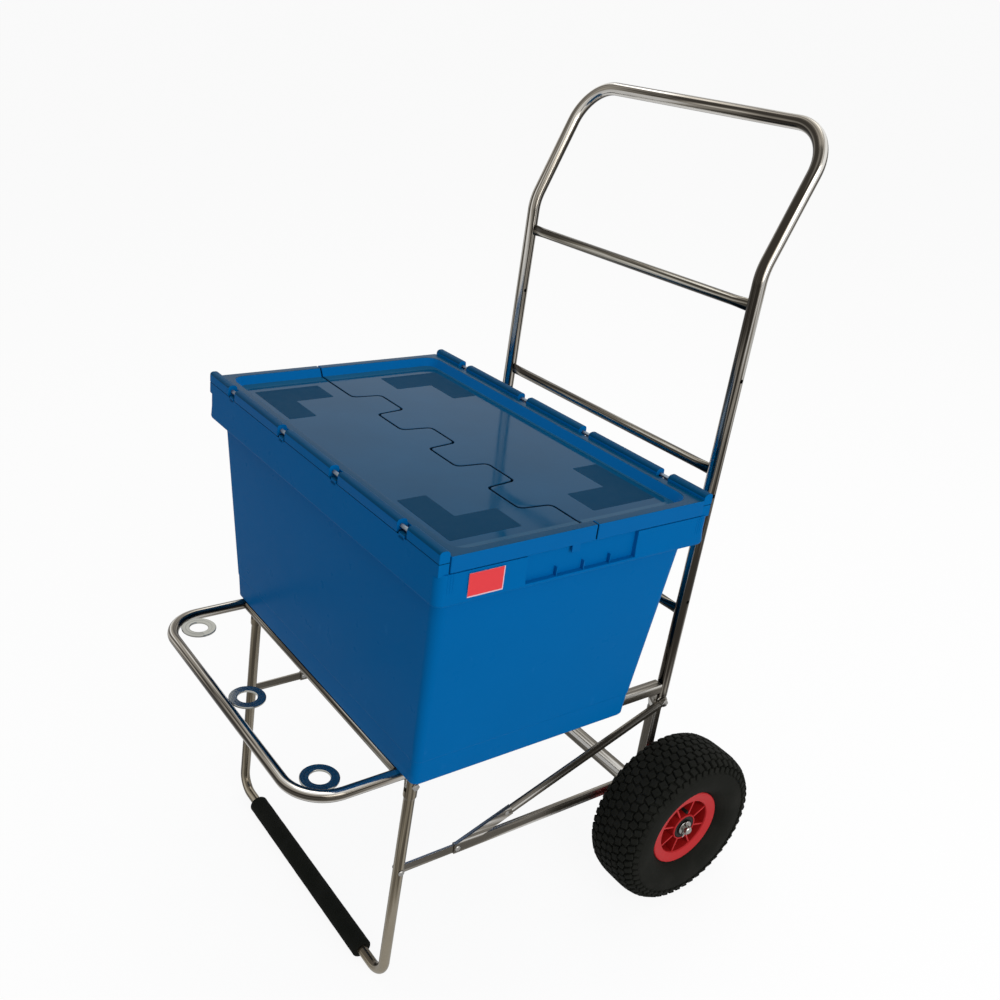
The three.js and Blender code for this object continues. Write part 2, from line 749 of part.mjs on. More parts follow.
// Axle: a square beam with a round rod through it, washers and split pins
function addAxle(frame) {
  const hubInnerX = wheelX - hubLength / 2;
  const hubOuterX = wheelX + hubLength / 2;
  const washerInnerX = hubInnerX - seatGap - washerThickness;
  const beamEndX = washerInnerX - seatGap;
  const beamLeft = new THREE.Vector3(-beamEndX, axleY, axleZ);
  const beamRight = new THREE.Vector3(beamEndX, axleY, axleZ);
  addPiece(frame, 'axle_beam', squareTube(beamLeft, beamRight, beamSize, beamWall), steel);

  const axleEndX = hubOuterX + axleEndPastHub;
  const washerOuterX = hubOuterX + seatGap;
  const pinX = washerOuterX + washerThickness + splitPinDiameter / 2 + seatGap;
  const pinHoleRadius = splitPinDiameter / 2 + holeClearance;
  let rod = cylinderAlongX(axleDiameter / 2, -axleEndX, axleEndX, axleY, axleZ, boreSegments);
  for (const side of sides) {
    const x = side.sign * pinX;
    const low = axleZ - axleDiameter;
    const high = axleZ + axleDiameter;
    rod = rod.subtract(cylinderAlongZ(pinHoleRadius, low, high, x, axleY, pinFacets));
  }
  addPiece(frame, 'axle_rod', rod, zinc);

  for (const side of sides) {
    for (const [place, startX] of [['inner', washerInnerX], ['outer', washerOuterX]]) {
      addPiece(frame, `washer_${place}_${side.name}`, washer(side.sign, startX), zinc);
    }
    addPiece(frame, `split_pin_${side.name}`, splitPin(side.sign * pinX), zinc);
  }
}

function washer(sign, startX) {
  const fromX = Math.min(sign * startX, sign * (startX + washerThickness));
  const toX = fromX + washerThickness;
  const holeRadius = axleDiameter / 2 + holeClearance;
  const hole = cylinderAlongX(holeRadius, fromX - cutOverrun, toX + cutOverrun, axleY, axleZ, boreSegments);
  return cylinderAlongX(washerOuterDiameter / 2, fromX, toX, axleY, axleZ, boreSegments).subtract(hole);
}

// A split pin: a round shank through the axle with an eye above it
function splitPin(x) {
  const top = axleZ + axleDiameter / 2 + splitPinDiameter / 2;
  const shank = cylinderAlongZ(splitPinDiameter / 2, top - splitPinLength, top, x, axleY, pinFacets);
  const eyeRadius = splitPinEyeDiameter / 2 - splitPinDiameter / 2;
  const eye = new THREE.TorusGeometry(eyeRadius, splitPinDiameter / 2, pinFacets, tubeFacets);
  eye.rotateY(Math.PI / 2);
  eye.translate(x, axleY, top + eyeRadius);
  return shank.add(toSolid(eye));
}

// Wheels: shapes turned about the Z axis of the profile, then laid along X
function turned(profile) {
  const closed = [...profile, profile[0]].map((point) => new THREE.Vector2(point[0], point[1]));
  const geometry = new THREE.LatheGeometry(closed, wheelSegments, Math.PI / wheelSegments);
  geometry.rotateZ(-Math.PI / 2);
  return toSolid(geometry);
}

function mirrored(half) {
  return [...half, ...half.map(([radius, place]) => [radius, -place]).reverse()];
}

// Half of the tyre's outer line, from the tread's middle groove to the bead, and back along the inner line
function tyreProfile() {
  const radius = tyreDiameter / 2;
  const halfWidth = tyreWidth / 2;
  const grooveRadius = radius - grooveDepth;
  const beadRadius = rimSeatDiameter / 2 + seatGap;
  const beadPlace = rimWidth / 2 - rimFlangeThickness - seatGap;
  const sidewallRadius = (radius + beadRadius) / 2;
  const flangeRadius = rimFlangeDiameter / 2;
  const outer = [
    [radius, grooveOffset - grooveWidth / 2],
    [grooveRadius, grooveOffset - grooveWidth / 2],
    [grooveRadius, grooveOffset + grooveWidth / 2],
    [radius - shoulderDrop / 4, grooveOffset + grooveWidth / 2],
    [radius - shoulderDrop, treadWidth / 2],
    [radius - 3 * shoulderDrop, halfWidth - shoulderDrop / 3],
    [sidewallRadius, halfWidth],
    [flangeRadius, beadPlace],
    [beadRadius, beadPlace],
  ];
  const inner = [
    [beadRadius, beadPlace - tyreWall],
    [sidewallRadius, halfWidth - tyreWall],
    [radius - 2 * tyreWall, treadWidth / 2],
    [radius - grooveDepth - tyreWall, 0],
  ];
  const half = [...outer, ...inner];
  return [...half, ...half.slice(0, -1).map(([r, place]) => [r, -place]).reverse()];
}

function rimProfile() {
  const halfRim = rimWidth / 2;
  const flangeRadius = rimFlangeDiameter / 2;
  const seatRadius = rimSeatDiameter / 2;
  const faceRadius = rimFaceInnerDiameter / 2;
  const hubRadius = hubDiameter / 2;
  const boreRadius = hubRadius - hubWall;
  const flangeInner = halfRim - rimFlangeThickness;
  return mirrored([
    [seatRadius - rimBarrelThickness, flangeInner / 2],
    [seatRadius, flangeInner],
    [flangeRadius, flangeInner],
    [flangeRadius - rimFlangeThickness / 2, halfRim],
    [faceRadius, halfRim - rimFlangeThickness / 2],
    [faceRadius - rimBarrelThickness / 2, rimWebThickness / 2],
    [hubRadius + rimBarrelThickness / 2, rimWebThickness / 2],
    [hubRadius, hubLength / 2],
    [boreRadius, hubLength / 2],
  ]);
}

function addWheel(frame, side) {
  const wheel = new THREE.Group();
  wheel.position.set(side.sign * wheelX, axleY, axleZ);
  wheel.rotation.x = frameLean();
  frame.add(wheel);

  addPiece(wheel, `tyre_${side.name}`, turned(tyreProfile()), tyreBlack);

  const ribReach = rimFaceInnerDiameter / 2 + ribInset / 2;
  const ribRoot = hubDiameter / 2 - hubWall / 2;
  const ribLength = ribReach - ribRoot;
  let rim = turned(rimProfile());
  for (let i = 0; i < ribCount; i += 1) {
    const rib = new THREE.BoxGeometry(rimWidth - 2 * ribInset, ribThickness, ribLength);
    rib.translate(0, 0, ribRoot + ribLength / 2);
    rib.rotateX((2 * Math.PI * (i + 0.5)) / ribCount);
    rim = rim.add(toSolid(rib));
  }
  const boreRadius = hubDiameter / 2 - hubWall;
  const reach = hubLength / 2 + cutOverrun;
  rim = rim.subtract(cylinderAlongX(boreRadius, -reach, reach, 0, 0, wheelSegments));
  addPiece(wheel, `rim_${side.name}`, rim, rimRed);

  const sealHalf = hubLength / 2;
  const seal = cylinderAlongX(boreRadius - seatGap, -sealHalf, sealHalf, 0, 0, boreSegments)
    .subtract(cylinderAlongX(axleDiameter / 2 + holeClearance, -reach, reach, 0, 0, boreSegments));
  addPiece(wheel, `hub_sleeve_${side.name}`, seal, sealBlack);

  addPiece(wheel, `valve_${side.name}`, valve(side.sign), sealBlack);
}

// The tyre valve: a short stem standing on the rim's web, leaning out of its pocket
function valve(sign) {
  const stemLength = hubLength / 2 - rimWebThickness;
  const stemRadius = valveDiameter / 2;
  const radius = (hubDiameter + rimFaceInnerDiameter) / 4;
  const capRadius = stemRadius * valveCapShare;
  const stem = cylinderAlongX(stemRadius, 0, stemLength, 0, radius, boltFacets);
  const cap = cylinderAlongX(capRadius, stemLength, stemLength + stemRadius, 0, radius, boltFacets);
  const whole = stem.add(cap).translate([rimWebThickness / 2 + seatGap, 0, 0]);
  return sign > 0 ? whole : whole.mirror([1, 0, 0]);
}

// Crate: a tapered tub with a stepped-out band, an inner ledge and hinge posts
function levelledBlock(levels, radius) {
  const widest = levels.reduce((a, b) => (a.halfX > b.halfX ? a : b));
  const outline = new THREE.Shape(roundedCorners(widest.halfX, widest.halfY, radius));
  const geometry = new THREE.ExtrudeGeometry(outline, {
    depth: levels.length - 1,
    steps: levels.length - 1,
    bevelEnabled: false,
    curveSegments: 1,
  });
  const places = geometry.attributes.position;
  for (let i = 0; i < places.count; i += 1) {
    const level = levels[Math.round(places.getZ(i))];
    const x = places.getX(i);
    const y = places.getY(i);
    const shiftX = Math.sign(x) * (level.halfX - widest.halfX);
    const shiftY = Math.sign(y) * (level.halfY - widest.halfY);
    places.setXYZ(i, x + shiftX, y + shiftY, level.z);
  }
  return toSolid(geometry);
}

function roundedCorners(halfX, halfY, radius) {
  const points = [];
  const quarters = [[1, 1, 0], [-1, 1, 1], [-1, -1, 2], [1, -1, 3]];
  for (const [signX, signY, quarter] of quarters) {
    for (let step = 0; step <= crateCornerSteps; step += 1) {
      const angle = (Math.PI / 2) * (quarter + step / crateCornerSteps);
      points.push(new THREE.Vector2(
        signX * (halfX - radius) + radius * Math.cos(angle),
        signY * (halfY - radius) + radius * Math.sin(angle),
      ));
    }
  }
  return points;
}

function crateLevel(height, halfX, halfY) {
  return { z: crateBottomZ + height, halfX, halfY };
}

// The stretches of the hinge line along X that belong to the crate and to a lid
function hingeStretches() {
  const [inner, outer] = knuckleGapX;
  const half = knuckleGapWidth / 2;
  const end = crateHalfLength - crateCornerRadius / 2;
  return {
    crate: [[-end, -outer - half], [-inner + half, inner - half], [outer + half, end]],
    lid: [[-outer + half, -inner - half], [inner + half, outer - half]],
  };
}

function addCrate(parent) {
  const crate = new THREE.Group();
  crate.position.x = crateOffsetX;
  parent.add(crate);

  const outer = levelledBlock([
    crateLevel(0, crateBaseHalfLength - crateFloorChamfer, crateBaseHalfWidth - crateFloorChamfer),
    crateLevel(crateFloorChamfer, crateBaseHalfLength, crateBaseHalfWidth),
    crateLevel(crateShoulderHeight, crateShoulderHalfLength, crateShoulderHalfWidth),
    crateLevel(crateBandHeight, crateHalfLength, crateHalfWidth),
    crateLevel(crateRimHeight, crateHalfLength, crateHalfWidth),
  ], crateCornerRadius);
  const inset = crateWall;
  const mouthX = crateHalfLength - crateLedgeWidth;
  const mouthY = crateHalfWidth - crateLedgeWidth;
  const ledgeZ = crateRimHeight - crateLedgeThickness;
  const shoulderX = crateShoulderHalfLength - inset;
  const shoulderY = crateShoulderHalfWidth - inset;
  const inner = levelledBlock([
    crateLevel(crateFloor, crateBaseHalfLength - inset, crateBaseHalfWidth - inset),
    crateLevel(crateShoulderHeight + inset / 2, shoulderX, shoulderY),
    crateLevel(crateBandHeight + inset / 2, crateHalfLength - inset, crateHalfWidth - inset),
    crateLevel(ledgeZ, crateHalfLength - inset, crateHalfWidth - inset),
    crateLevel(ledgeZ, mouthX, mouthY),
    crateLevel(crateRimHeight + cutOverrun, mouthX, mouthY),
  ], crateCornerRadius - inset);

  let hollow = inner;
  let shell = outer;
  for (const side of sides) {
    shell = shell.subtract(gripBlock(side.sign, 0));
    hollow = hollow.subtract(gripBlock(side.sign, crateWall));
  }
  let tub = shell.subtract(hollow);
  for (const side of sides) {
    tub = tub.add(upstand(side.sign));
    for (const [fromX, toX] of hingeStretches().crate) {
      tub = tub.add(hingePost(side.sign, fromX, toX));
    }
    tub = tub.subtract(hingeBore(side.sign));
  }
  addPiece(crate, 'crate_tub', tub, crateBlue);

  for (const [name, sign] of [['front', -1], ['rear', 1]]) {
    addPiece(crate, `lid_${name}`, lidHalf(sign), lidBlue);
    const rodEnd = crateHalfLength - crateCornerRadius / 2;
    const rod = cylinderAlongX(hingeRodDiameter / 2, -rodEnd, rodEnd, sign * hingeY, hingeZ, boltFacets);
    addPiece(crate, `hinge_rod_${name}`, rod, zinc);
  }

  const labelX = crateHalfLength + seatGap;
  const labelTop = crateRimZ - labelDrop + labelHeight / 2;
  const label = boxBetween(
    new THREE.Vector3(labelX, labelY - labelLength / 2, labelTop - labelHeight),
    new THREE.Vector3(labelX + labelThickness, labelY + labelLength / 2, labelTop),
  );
  addPiece(crate, 'crate_label', label, labelRed);
}

// The block that the hand grip takes out of a short side, grown by the wall for the inside
function gripBlock(sign, growth) {
  const innerX = sign * (crateHalfLength - gripDepth - growth);
  const outerX = sign * (crateHalfLength + cutOverrun);
  const halfLength = gripHalfLength + growth;
  const bottomZ = crateRimZ - gripDrop - growth;
  const topZ = crateRimZ + 2 * cutOverrun;
  return boxBetween(
    new THREE.Vector3(Math.min(innerX, outerX), -halfLength, bottomZ),
    new THREE.Vector3(Math.max(innerX, outerX), halfLength, topZ),
  );
}

// The low wall that stands on a long side, outside the lid's edge
function upstand(sign) {
  const endX = crateHalfLength - crateCornerRadius / 2;
  const innerY = sign * (crateHalfWidth - crateWall);
  const outerY = sign * crateHalfWidth;
  const bottomZ = crateRimZ - crateLedgeThickness / 2;
  return boxBetween(
    new THREE.Vector3(-endX, Math.min(innerY, outerY), bottomZ),
    new THREE.Vector3(endX, Math.max(innerY, outerY), crateRimZ + upstandHeight),
  );
}

function hingePost(sign, fromX, toX) {
  const innerY = sign * (hingeY - hingeRadius / 2);
  const outerY = sign * crateHalfWidth;
  const bottomZ = crateRimZ - crateLedgeThickness / 2;
  const low = new THREE.Vector3(fromX, Math.min(innerY, outerY), bottomZ);
  const high = new THREE.Vector3(toX, Math.max(innerY, outerY), hingeZ);
  return boxBetween(low, high).add(hingeBarrel(sign, fromX, toX));
}

function hingeBarrel(sign, fromX, toX) {
  return cylinderAlongX(hingeRadius, fromX, toX, sign * hingeY, hingeZ);
}

function hingeBore(sign) {
  const reach = crateHalfLength + cutOverrun;
  const radius = hingeRodDiameter / 2 + holeClearance;
  return cylinderAlongX(radius, -reach, reach, sign * hingeY, hingeZ, holeFacets);
}

// The interlocking line between the lids, moved by half the gap away from the other lid
function seamPoints(sign) {
  const points = [];
  const highY = seamY + (sign * lidSeamGap) / 2;
  const lowY = highY - tongueDepth;
  const halfFlat = tongueWidth / 2;
  const slopeShift = (sign * lidSeamGap) / 2;
  points.push([-crateHalfLength, highY]);
  for (let i = 0; i < tongueCount; i += 1) {
    const centre = firstTongueX + i * tonguePitch;
    points.push([centre - halfFlat - tongueSlope / 2 + slopeShift, highY]);
    points.push([centre - halfFlat + tongueSlope / 2 + slopeShift, lowY]);
    points.push([centre + halfFlat - tongueSlope / 2 - slopeShift, lowY]);
    points.push([centre + halfFlat + tongueSlope / 2 - slopeShift, highY]);
  }
  points.push([crateHalfLength, highY]);
  return points;
}

// One lid: a recessed panel in a raised frame, with a lip below and knuckles on the hinge line
function lidHalf(sign) {
  const edgeY = sign * lidEdgeY;
  const seam = seamPoints(sign);
  const outline = (insetEnd, insetHinge, overrun) => {
    const endX = crateHalfLength - insetEnd;
    const hingeSideY = edgeY - sign * insetHinge;
    const far = -sign * overrun;
    const clipped = seam.map(([x, y]) => [Math.max(-endX, Math.min(endX, x)), y + far]);
    const points = [...clipped, [endX, hingeSideY], [-endX, hingeSideY]];
    return new THREE.Shape(points.map(([x, y]) => new THREE.Vector2(x, y)));
  };
  const bottomZ = crateRimZ + seatGap;
  const panelTopZ = crateTopZ - lidPanelDrop;
  const panelBottomZ = panelTopZ - lidPanelThickness;
  const wellOutline = outline(lidFrameWidth, lidFrameWidth, tongueDepth);
  const undersideOutline = outline(lidLipWidth, lidLipWidth, tongueDepth);
  const block = extrudeUp(outline(0, 0, 0), bottomZ, crateTopZ);
  const well = extrudeUp(wellOutline, panelTopZ, crateTopZ + cutOverrun);
  const underside = extrudeUp(undersideOutline, bottomZ - cutOverrun, panelBottomZ);
  let lid = block.subtract(well).subtract(underside);
  const innerY = edgeY - sign * lidLipWidth;
  const outerY = sign * hingeY;
  for (const [fromX, toX] of hingeStretches().lid) {
    const low = new THREE.Vector3(fromX, Math.min(innerY, outerY), hingeZ - lidWebThickness);
    const high = new THREE.Vector3(toX, Math.max(innerY, outerY), hingeZ);
    lid = lid.add(boxBetween(low, high)).add(hingeBarrel(sign, fromX, toX));
  }
  return lid.subtract(hingeBore(sign));
}

function extrudeUp(outline, fromZ, toZ) {
  const geometry = new THREE.ExtrudeGeometry(outline, { depth: toZ - fromZ, bevelEnabled: false });
  return toSolid(geometry.translate(0, 0, fromZ));
}

// The whole trolley, leaning back on its wheels and foot
const trolley = new THREE.Group();
const frame = new THREE.Group();
frame.rotation.x = -frameLean();
trolley.add(frame);
addHandle(frame);
addPlatform(frame);
addRodRings(frame);
addFrontLeg(frame);
for (const side of sides) {
  addSideStays(frame, side);
  addRearCorner(frame, side);
}
addAxle(frame);
for (const side of sides) {
  addWheel(frame, side);
}
addCrate(frame);

// The origin is on the floor, under the middle of the trolley's outline
const bounds = new THREE.Box3().setFromObject(trolley, true);
const middle = bounds.getCenter(new THREE.Vector3());
frame.position.set(-middle.x, -middle.y, -bounds.min.z);

const group = new THREE.Group();
group.add(trolley);
export default group;
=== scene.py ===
"""A two-wheeled fishing trolley: polished tube frame, rod rings, foam foot, wheels and a lidded crate."""

import json
import logging
import math
from dataclasses import dataclass, field
from enum import Enum
from typing import Any, Callable, Iterable, Sequence

import bmesh
import bpy
from mathutils import Matrix, Quaternion, Vector


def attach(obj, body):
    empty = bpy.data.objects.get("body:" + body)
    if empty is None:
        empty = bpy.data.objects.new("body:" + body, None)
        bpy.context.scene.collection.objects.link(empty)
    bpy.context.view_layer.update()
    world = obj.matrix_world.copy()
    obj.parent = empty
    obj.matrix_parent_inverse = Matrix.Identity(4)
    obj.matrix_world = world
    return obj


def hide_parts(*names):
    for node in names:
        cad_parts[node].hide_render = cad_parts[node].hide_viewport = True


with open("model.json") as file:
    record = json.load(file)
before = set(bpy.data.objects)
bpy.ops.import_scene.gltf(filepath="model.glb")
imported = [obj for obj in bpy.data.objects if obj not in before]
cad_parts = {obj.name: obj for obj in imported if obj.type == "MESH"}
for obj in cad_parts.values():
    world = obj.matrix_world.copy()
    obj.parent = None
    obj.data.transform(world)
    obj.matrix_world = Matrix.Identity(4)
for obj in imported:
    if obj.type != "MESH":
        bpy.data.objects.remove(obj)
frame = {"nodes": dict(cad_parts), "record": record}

LOG = logging.getLogger("fishing_trolley")

Colour = tuple[float, float, float]
Pair = tuple[float, float]
Inputs = dict[str | int, Any]
Mesh = bpy.types.Mesh
Socket = bpy.types.NodeSocket

MILLIMETRE = 0.001
FULL_TURN = 2 * math.pi
QUARTER_TURN = math.pi / 2
UV_NAME = "around"
WELD_GAP = 0.3  # millimetres left between two pieces that are welded together
PATH_SPACING = 60  # millimetres between the rings of a straight tube, at most
ALONG_X = Vector((1, 0, 0))
ALONG_Y = Vector((0, 1, 0))
ALONG_Z = Vector((0, 0, 1))


class Named(Enum):
    """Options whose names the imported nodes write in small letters."""

    @property
    def word(self) -> str:
        """The option's name as the nodes write it."""
        return self.name.lower()


class Side(Named):
    """The trolley's left and right, as signs along X."""

    LEFT = -1
    RIGHT = 1


class Half(Named):
    """The front lid and the rear lid, as signs along Y."""

    FRONT = -1
    REAR = 1


def from_srgb(*levels: int) -> Colour:
    """Turns red, green and blue of 0 to 255 into Blender's linear values."""
    shares = [level / 255 for level in levels]
    return tuple(s / 12.92 if s <= 0.04045 else ((s + 0.055) / 1.055) ** 2.4 for s in shares)


# Placement and mesh making


@dataclass(frozen=True)
class Placement:
    """Carries the platform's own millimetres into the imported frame's metres."""

    lean: float
    origin: Vector
    axle: Vector

    @classmethod
    def from_record(cls, record: dict[str, Any]) -> "Placement":
        """Reads the lean from the crate's lift and the origin from the axle.

        Args:
            record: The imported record.

        Returns:
            The placement of the platform.
        """
        joints = {joint["name"]: joint for joint in record["behaviour"]["joints"]}
        normal = joints["crate_lift"]["axis"]
        lean = math.atan2(normal[1], normal[2])
        centre = joints["wheel_right_spin"]["pos_m"]
        axle = Vector((0, centre[1], centre[2]))
        local = Vector((0, Axle.place_y, Axle.place_z)) * MILLIMETRE
        return cls(lean, axle - Matrix.Rotation(-lean, 3, "X") @ local, axle)

    @property
    def platform(self) -> Matrix:
        """From platform millimetres to metres."""
        turn = Matrix.Rotation(-self.lean, 4, "X")
        return Matrix.Translation(self.origin) @ turn @ Matrix.Scale(MILLIMETRE, 4)

    @property
    def crate(self) -> Matrix:
        """From the crate's own millimetres to metres."""
        return self.platform @ Matrix.Translation((Crate.offset_x, 0, 0))

    def wheel(self, side: Side) -> Matrix:
        """From a wheel's own millimetres, upright on its axle, to metres."""
        centre = Vector((side.value * Axle.wheel_x * MILLIMETRE, self.axle.y, self.axle.z))
        return Matrix.Translation(centre) @ Matrix.Scale(MILLIMETRE, 4)


def linked(name: str, data: bpy.types.ID) -> bpy.types.Object:
    """A new object in the scene.

    Args:
        name: The object's name.
        data: Its mesh, lamp or camera.

    Returns:
        The object.
    """
    item = bpy.data.objects.new(name, data)
    bpy.context.scene.collection.objects.link(item)
    return item


def edited(mesh: Mesh, work: Callable[[bmesh.types.BMesh], Any], result: Mesh | None = None) -> Mesh:
    """Edits a mesh's points, edges and faces.

    Args:
        mesh: The mesh.
        work: What is done to it.
        result: The mesh that takes the outcome, or nothing for the same one.

    Returns:
        The edited mesh.
    """
    shell = bmesh.new()
    shell.from_mesh(mesh)
    work(shell)
    result = result or mesh
    shell.to_mesh(result)
    shell.free()
    return result


def face_outwards(shell: bmesh.types.BMesh) -> None:
    """Merges doubled points and turns every closed shell's faces outwards."""
    bmesh.ops.remove_doubles(shell, verts=shell.verts, dist=1e-5)
    bmesh.ops.recalc_face_normals(shell, faces=shell.faces)


def distances(points: Sequence[Vector]) -> list[float]:
    """The length along a line at each of its points.

    Args:
        points: The line.

    Returns:
        The lengths, from 0.
    """
    lengths = [0.0]
    for before, after in zip(points, points[1:]):
        lengths.append(lengths[-1] + (Vector(after) - Vector(before)).length)
    return lengths


def skinned(
    rings: Sequence[Sequence[Vector]],
    along: Sequence[float],
    around: Sequence[float] | None = None,
    looped: bool = False,
) -> Mesh:
    """Skins a row of closed rings that have the same number of points, in millimetres.

    Args:
        rings: The rings.
        along: A length along the row for each ring, and one more where it is looped.
        around: A length round the ring for each point, and one more for the first again, or
            nothing to measure the first ring.
        looped: Whether the last ring meets the first; otherwise a face closes each end.

    Returns:
        The mesh, with its faces outwards and its UV places in metres.
    """
    around = around or distances([*rings[0], rings[0][0]])
    count = len(rings[0])
    points = [Vector(point) for ring in rings for point in ring]
    faces: list[list[int]] = []
    places: list[Pair] = []
    for row in range(len(rings) if looped else len(rings) - 1):
        base, following = row * count, (row + 1) % len(rings) * count
        low, high = along[row], along[row + 1]
        for i in range(count):
            j = (i + 1) % count
            faces.append([base + i, base + j, following + j, following + i])
            places += [(around[i], low), (around[i + 1], low), (around[i + 1], high), (around[i], high)]
    if not looped:
        for start in (0, len(points) - count):
            faces.append(list(range(start, start + count)))
            places += [(point.y, point.z) for point in points[start : start + count]]
    mesh = bpy.data.meshes.new("draft")
    mesh.from_pydata([tuple(point) for point in points], [], faces)
    layer = mesh.uv_layers.new(name=UV_NAME)
    for index, place in enumerate(places):
        layer.data[index].uv = (place[0] * MILLIMETRE, place[1] * MILLIMETRE)
    return edited(mesh, face_outwards)


def bent_path(corners: Sequence[Vector], radii: Sequence[float], steps: int = 20) -> list[Vector]:
    """A line through corners with each corner rounded.

    Args:
        corners: The corner points.
        radii: The bend radius at each inner corner.
        steps: How many stretches each bend is drawn with.

    Returns:
        The points of the line.
    """
    path = [Vector(corners[0])]
    for before, corner, after, radius in zip(corners, corners[1:], corners[2:], radii):
        incoming = (corner - before).normalized()
        outgoing = (after - corner).normalized()
        turn = incoming.angle(outgoing)
        axis = incoming.cross(outgoing).normalized()
        start = corner - incoming * radius * math.tan(turn / 2)
        centre = start + axis.cross(incoming) * radius
        spoke = start - centre
        path += [centre + Quaternion(axis, turn * step / steps) @ spoke for step in range(steps + 1)]
    return [*path, Vector(corners[-1])]


def filled_path(path: Sequence[Vector], spacing: float = PATH_SPACING) -> list[Vector]:
    """Adds points to a line so that none of its stretches is longer than the spacing.

    Args:
        path: The line.
        spacing: The greatest stretch.

    Returns:
        The points of the new line.
    """
    full = [Vector(path[0])]
    for before, after in zip(path, path[1:]):
        count = max(1, math.ceil((after - before).length / spacing))
        full += [before.lerp(after, i / count) for i in range(1, count + 1)]
    return full


def curve_through(points: Sequence[Vector], steps: int) -> list[Vector]:
    """A smooth line through points.

    Args:
        points: The points.
        steps: How many stretches the line has between each two.

    Returns:
        The points of the line.
    """
    places = [Vector(point) for point in points]
    padded = [places[0] * 2 - places[1], *places, places[-1] * 2 - places[-2]]
    line: list[Vector] = []
    for a, b, c, d in zip(padded, padded[1:], padded[2:], padded[3:]):
        for t in (step / steps for step in range(steps)):
            bend, twist = a * 2 - b * 5 + c * 4 - d, b * 3 - a - c * 3 + d
            line.append((b * 2 + (c - a) * t + bend * t**2 + twist * t**3) / 2)
    return [*line, places[-1]]


def angles(count: int) -> list[float]:
    """The angles of a turn in equal steps."""
    return [FULL_TURN * step / count for step in range(count)]


def girth(radius: float, count: int) -> list[float]:
    """The lengths round a circle in equal steps, with the whole circle as the last."""
    return [FULL_TURN * radius * step / count for step in range(count + 1)]


def tube(path: Sequence[Vector], radius: float | Callable[[float], float], sides: int = 40) -> Mesh:
    """A round bar along a line, closed at both ends.

    Args:
        path: The centre line.
        radius: The radius, or a rule that gives it from the length along the line.
        sides: How many sides the round section has.

    Returns:
        The bar's mesh.
    """
    reach_at = radius if callable(radius) else lambda length: radius
    nearly_parallel = 0.9
    lengths = distances(path)
    ends = [path[0], *path, path[-1]]
    tangents = [(after - before).normalized() for before, after in zip(ends, ends[2:])]
    normal = tangents[0].orthogonal().normalized()
    if abs(tangents[0].x) < nearly_parallel:
        normal = (ALONG_X - tangents[0] * tangents[0].x).normalized()
    rings = []
    for i, point in enumerate(path):
        if i:
            normal = tangents[i - 1].rotation_difference(tangents[i]) @ normal
        other, reach = tangents[i].cross(normal), reach_at(lengths[i])
        rings.append([point + (normal * math.cos(a) + other * math.sin(a)) * reach for a in angles(sides)])
    return skinned(rings, lengths, girth(reach_at(lengths[len(lengths) // 2]), sides))


def turned(profile: Sequence[Pair], segments: int = 96, centre: Sequence[float] = (0, 0, 0)) -> Mesh:
    """A closed outline of radius and X, turned about a line along X.

    Args:
        profile: Points of radius and place along X.
        segments: How many segments the turn has.
        centre: A point on the line.

    Returns:
        The turned body's mesh.
    """
    middle = Vector(centre)
    rings = [
        [middle + Vector((x, r * math.sin(angle), r * math.cos(angle))) for r, x in profile]
        for angle in angles(segments)
    ]
    closed = [Vector((x, r, 0)) for r, x in (*profile, profile[0])]
    return skinned(rings, girth(max(r for r, _ in profile), segments), distances(closed), True)


def mirrored(half: Sequence[Pair]) -> list[Pair]:
    """Half a profile of radius and X, with its mirror image across X = 0."""
    return [*half, *[(r, -x) for r, x in reversed(half)]]


def stacked(outlines: Sequence[tuple[float, Sequence[Pair]]]) -> Mesh:
    """A closed body through flat outlines at several heights, each with as many points."""
    rings = [[Vector((x, y, z)) for x, y in outline] for z, outline in outlines]
    return skinned(rings, [z for z, _ in outlines])


def prism(outline: Sequence[Pair], low: float, high: float) -> Mesh:
    """A flat outline in X and Y, raised from one height to another."""
    return stacked([(low, outline), (high, outline)])


def block(low: Sequence[float], high: Sequence[float]) -> Mesh:
    """A box between two corners."""
    (x0, y0, z0), (x1, y1, z1) = low, high
    return prism([(x0, y0), (x1, y0), (x1, y1), (x0, y1)], z0, z1)


def bar_along_x(section: Sequence[Pair], start: float, end: float, sign: int, centre: Pair) -> Mesh:
    """A bar along X that has the same section from end to end.

    Args:
        section: Points of reach outwards and upwards from the centre line.
        start: Where it starts along X.
        end: Where it ends along X.
        sign: The way that is outwards along Y.
        centre: The centre line's Y and height.

    Returns:
        The bar's mesh.
    """
    y, z = centre
    rings = [[Vector((x, y + sign * out, z + up)) for out, up in section] for x in (start, end)]
    return skinned(rings, [start, end])


def rounded_outline(corners: Sequence[Pair], radius: float | Sequence[float], steps: int = 6) -> list[Pair]:
    """A closed outline in X and Y with its corners rounded as far as its edges allow.

    Args:
        corners: The corners in order.
        radius: One radius, or one for each corner.
        steps: How many stretches each rounding is drawn with.

    Returns:
        The points of the outline.
    """
    edge_share, least_turn, least_reach = 0.48, 0.02, 0.05
    count = len(corners)
    radii = [radius] * count if isinstance(radius, (int, float)) else radius
    places = [Vector((x, y, 0)) for x, y in corners]
    outline: list[Pair] = []
    for i, corner in enumerate(places):
        incoming, outgoing = corner - places[i - 1], places[(i + 1) % count] - corner
        turn = incoming.angle(outgoing)
        reach = min(radii[i] * math.tan(turn / 2), min(incoming.length, outgoing.length) * edge_share)
        if turn < least_turn or reach < least_reach:
            outline.append((corner.x, corner.y))
            continue
        start = corner - incoming.normalized() * reach
        end = corner + outgoing.normalized() * reach
        for t in (step / steps for step in range(steps + 1)):
            point = start * (1 - t) ** 2 + corner * 2 * t * (1 - t) + end * t**2
            outline.append((point.x, point.y))
    return outline


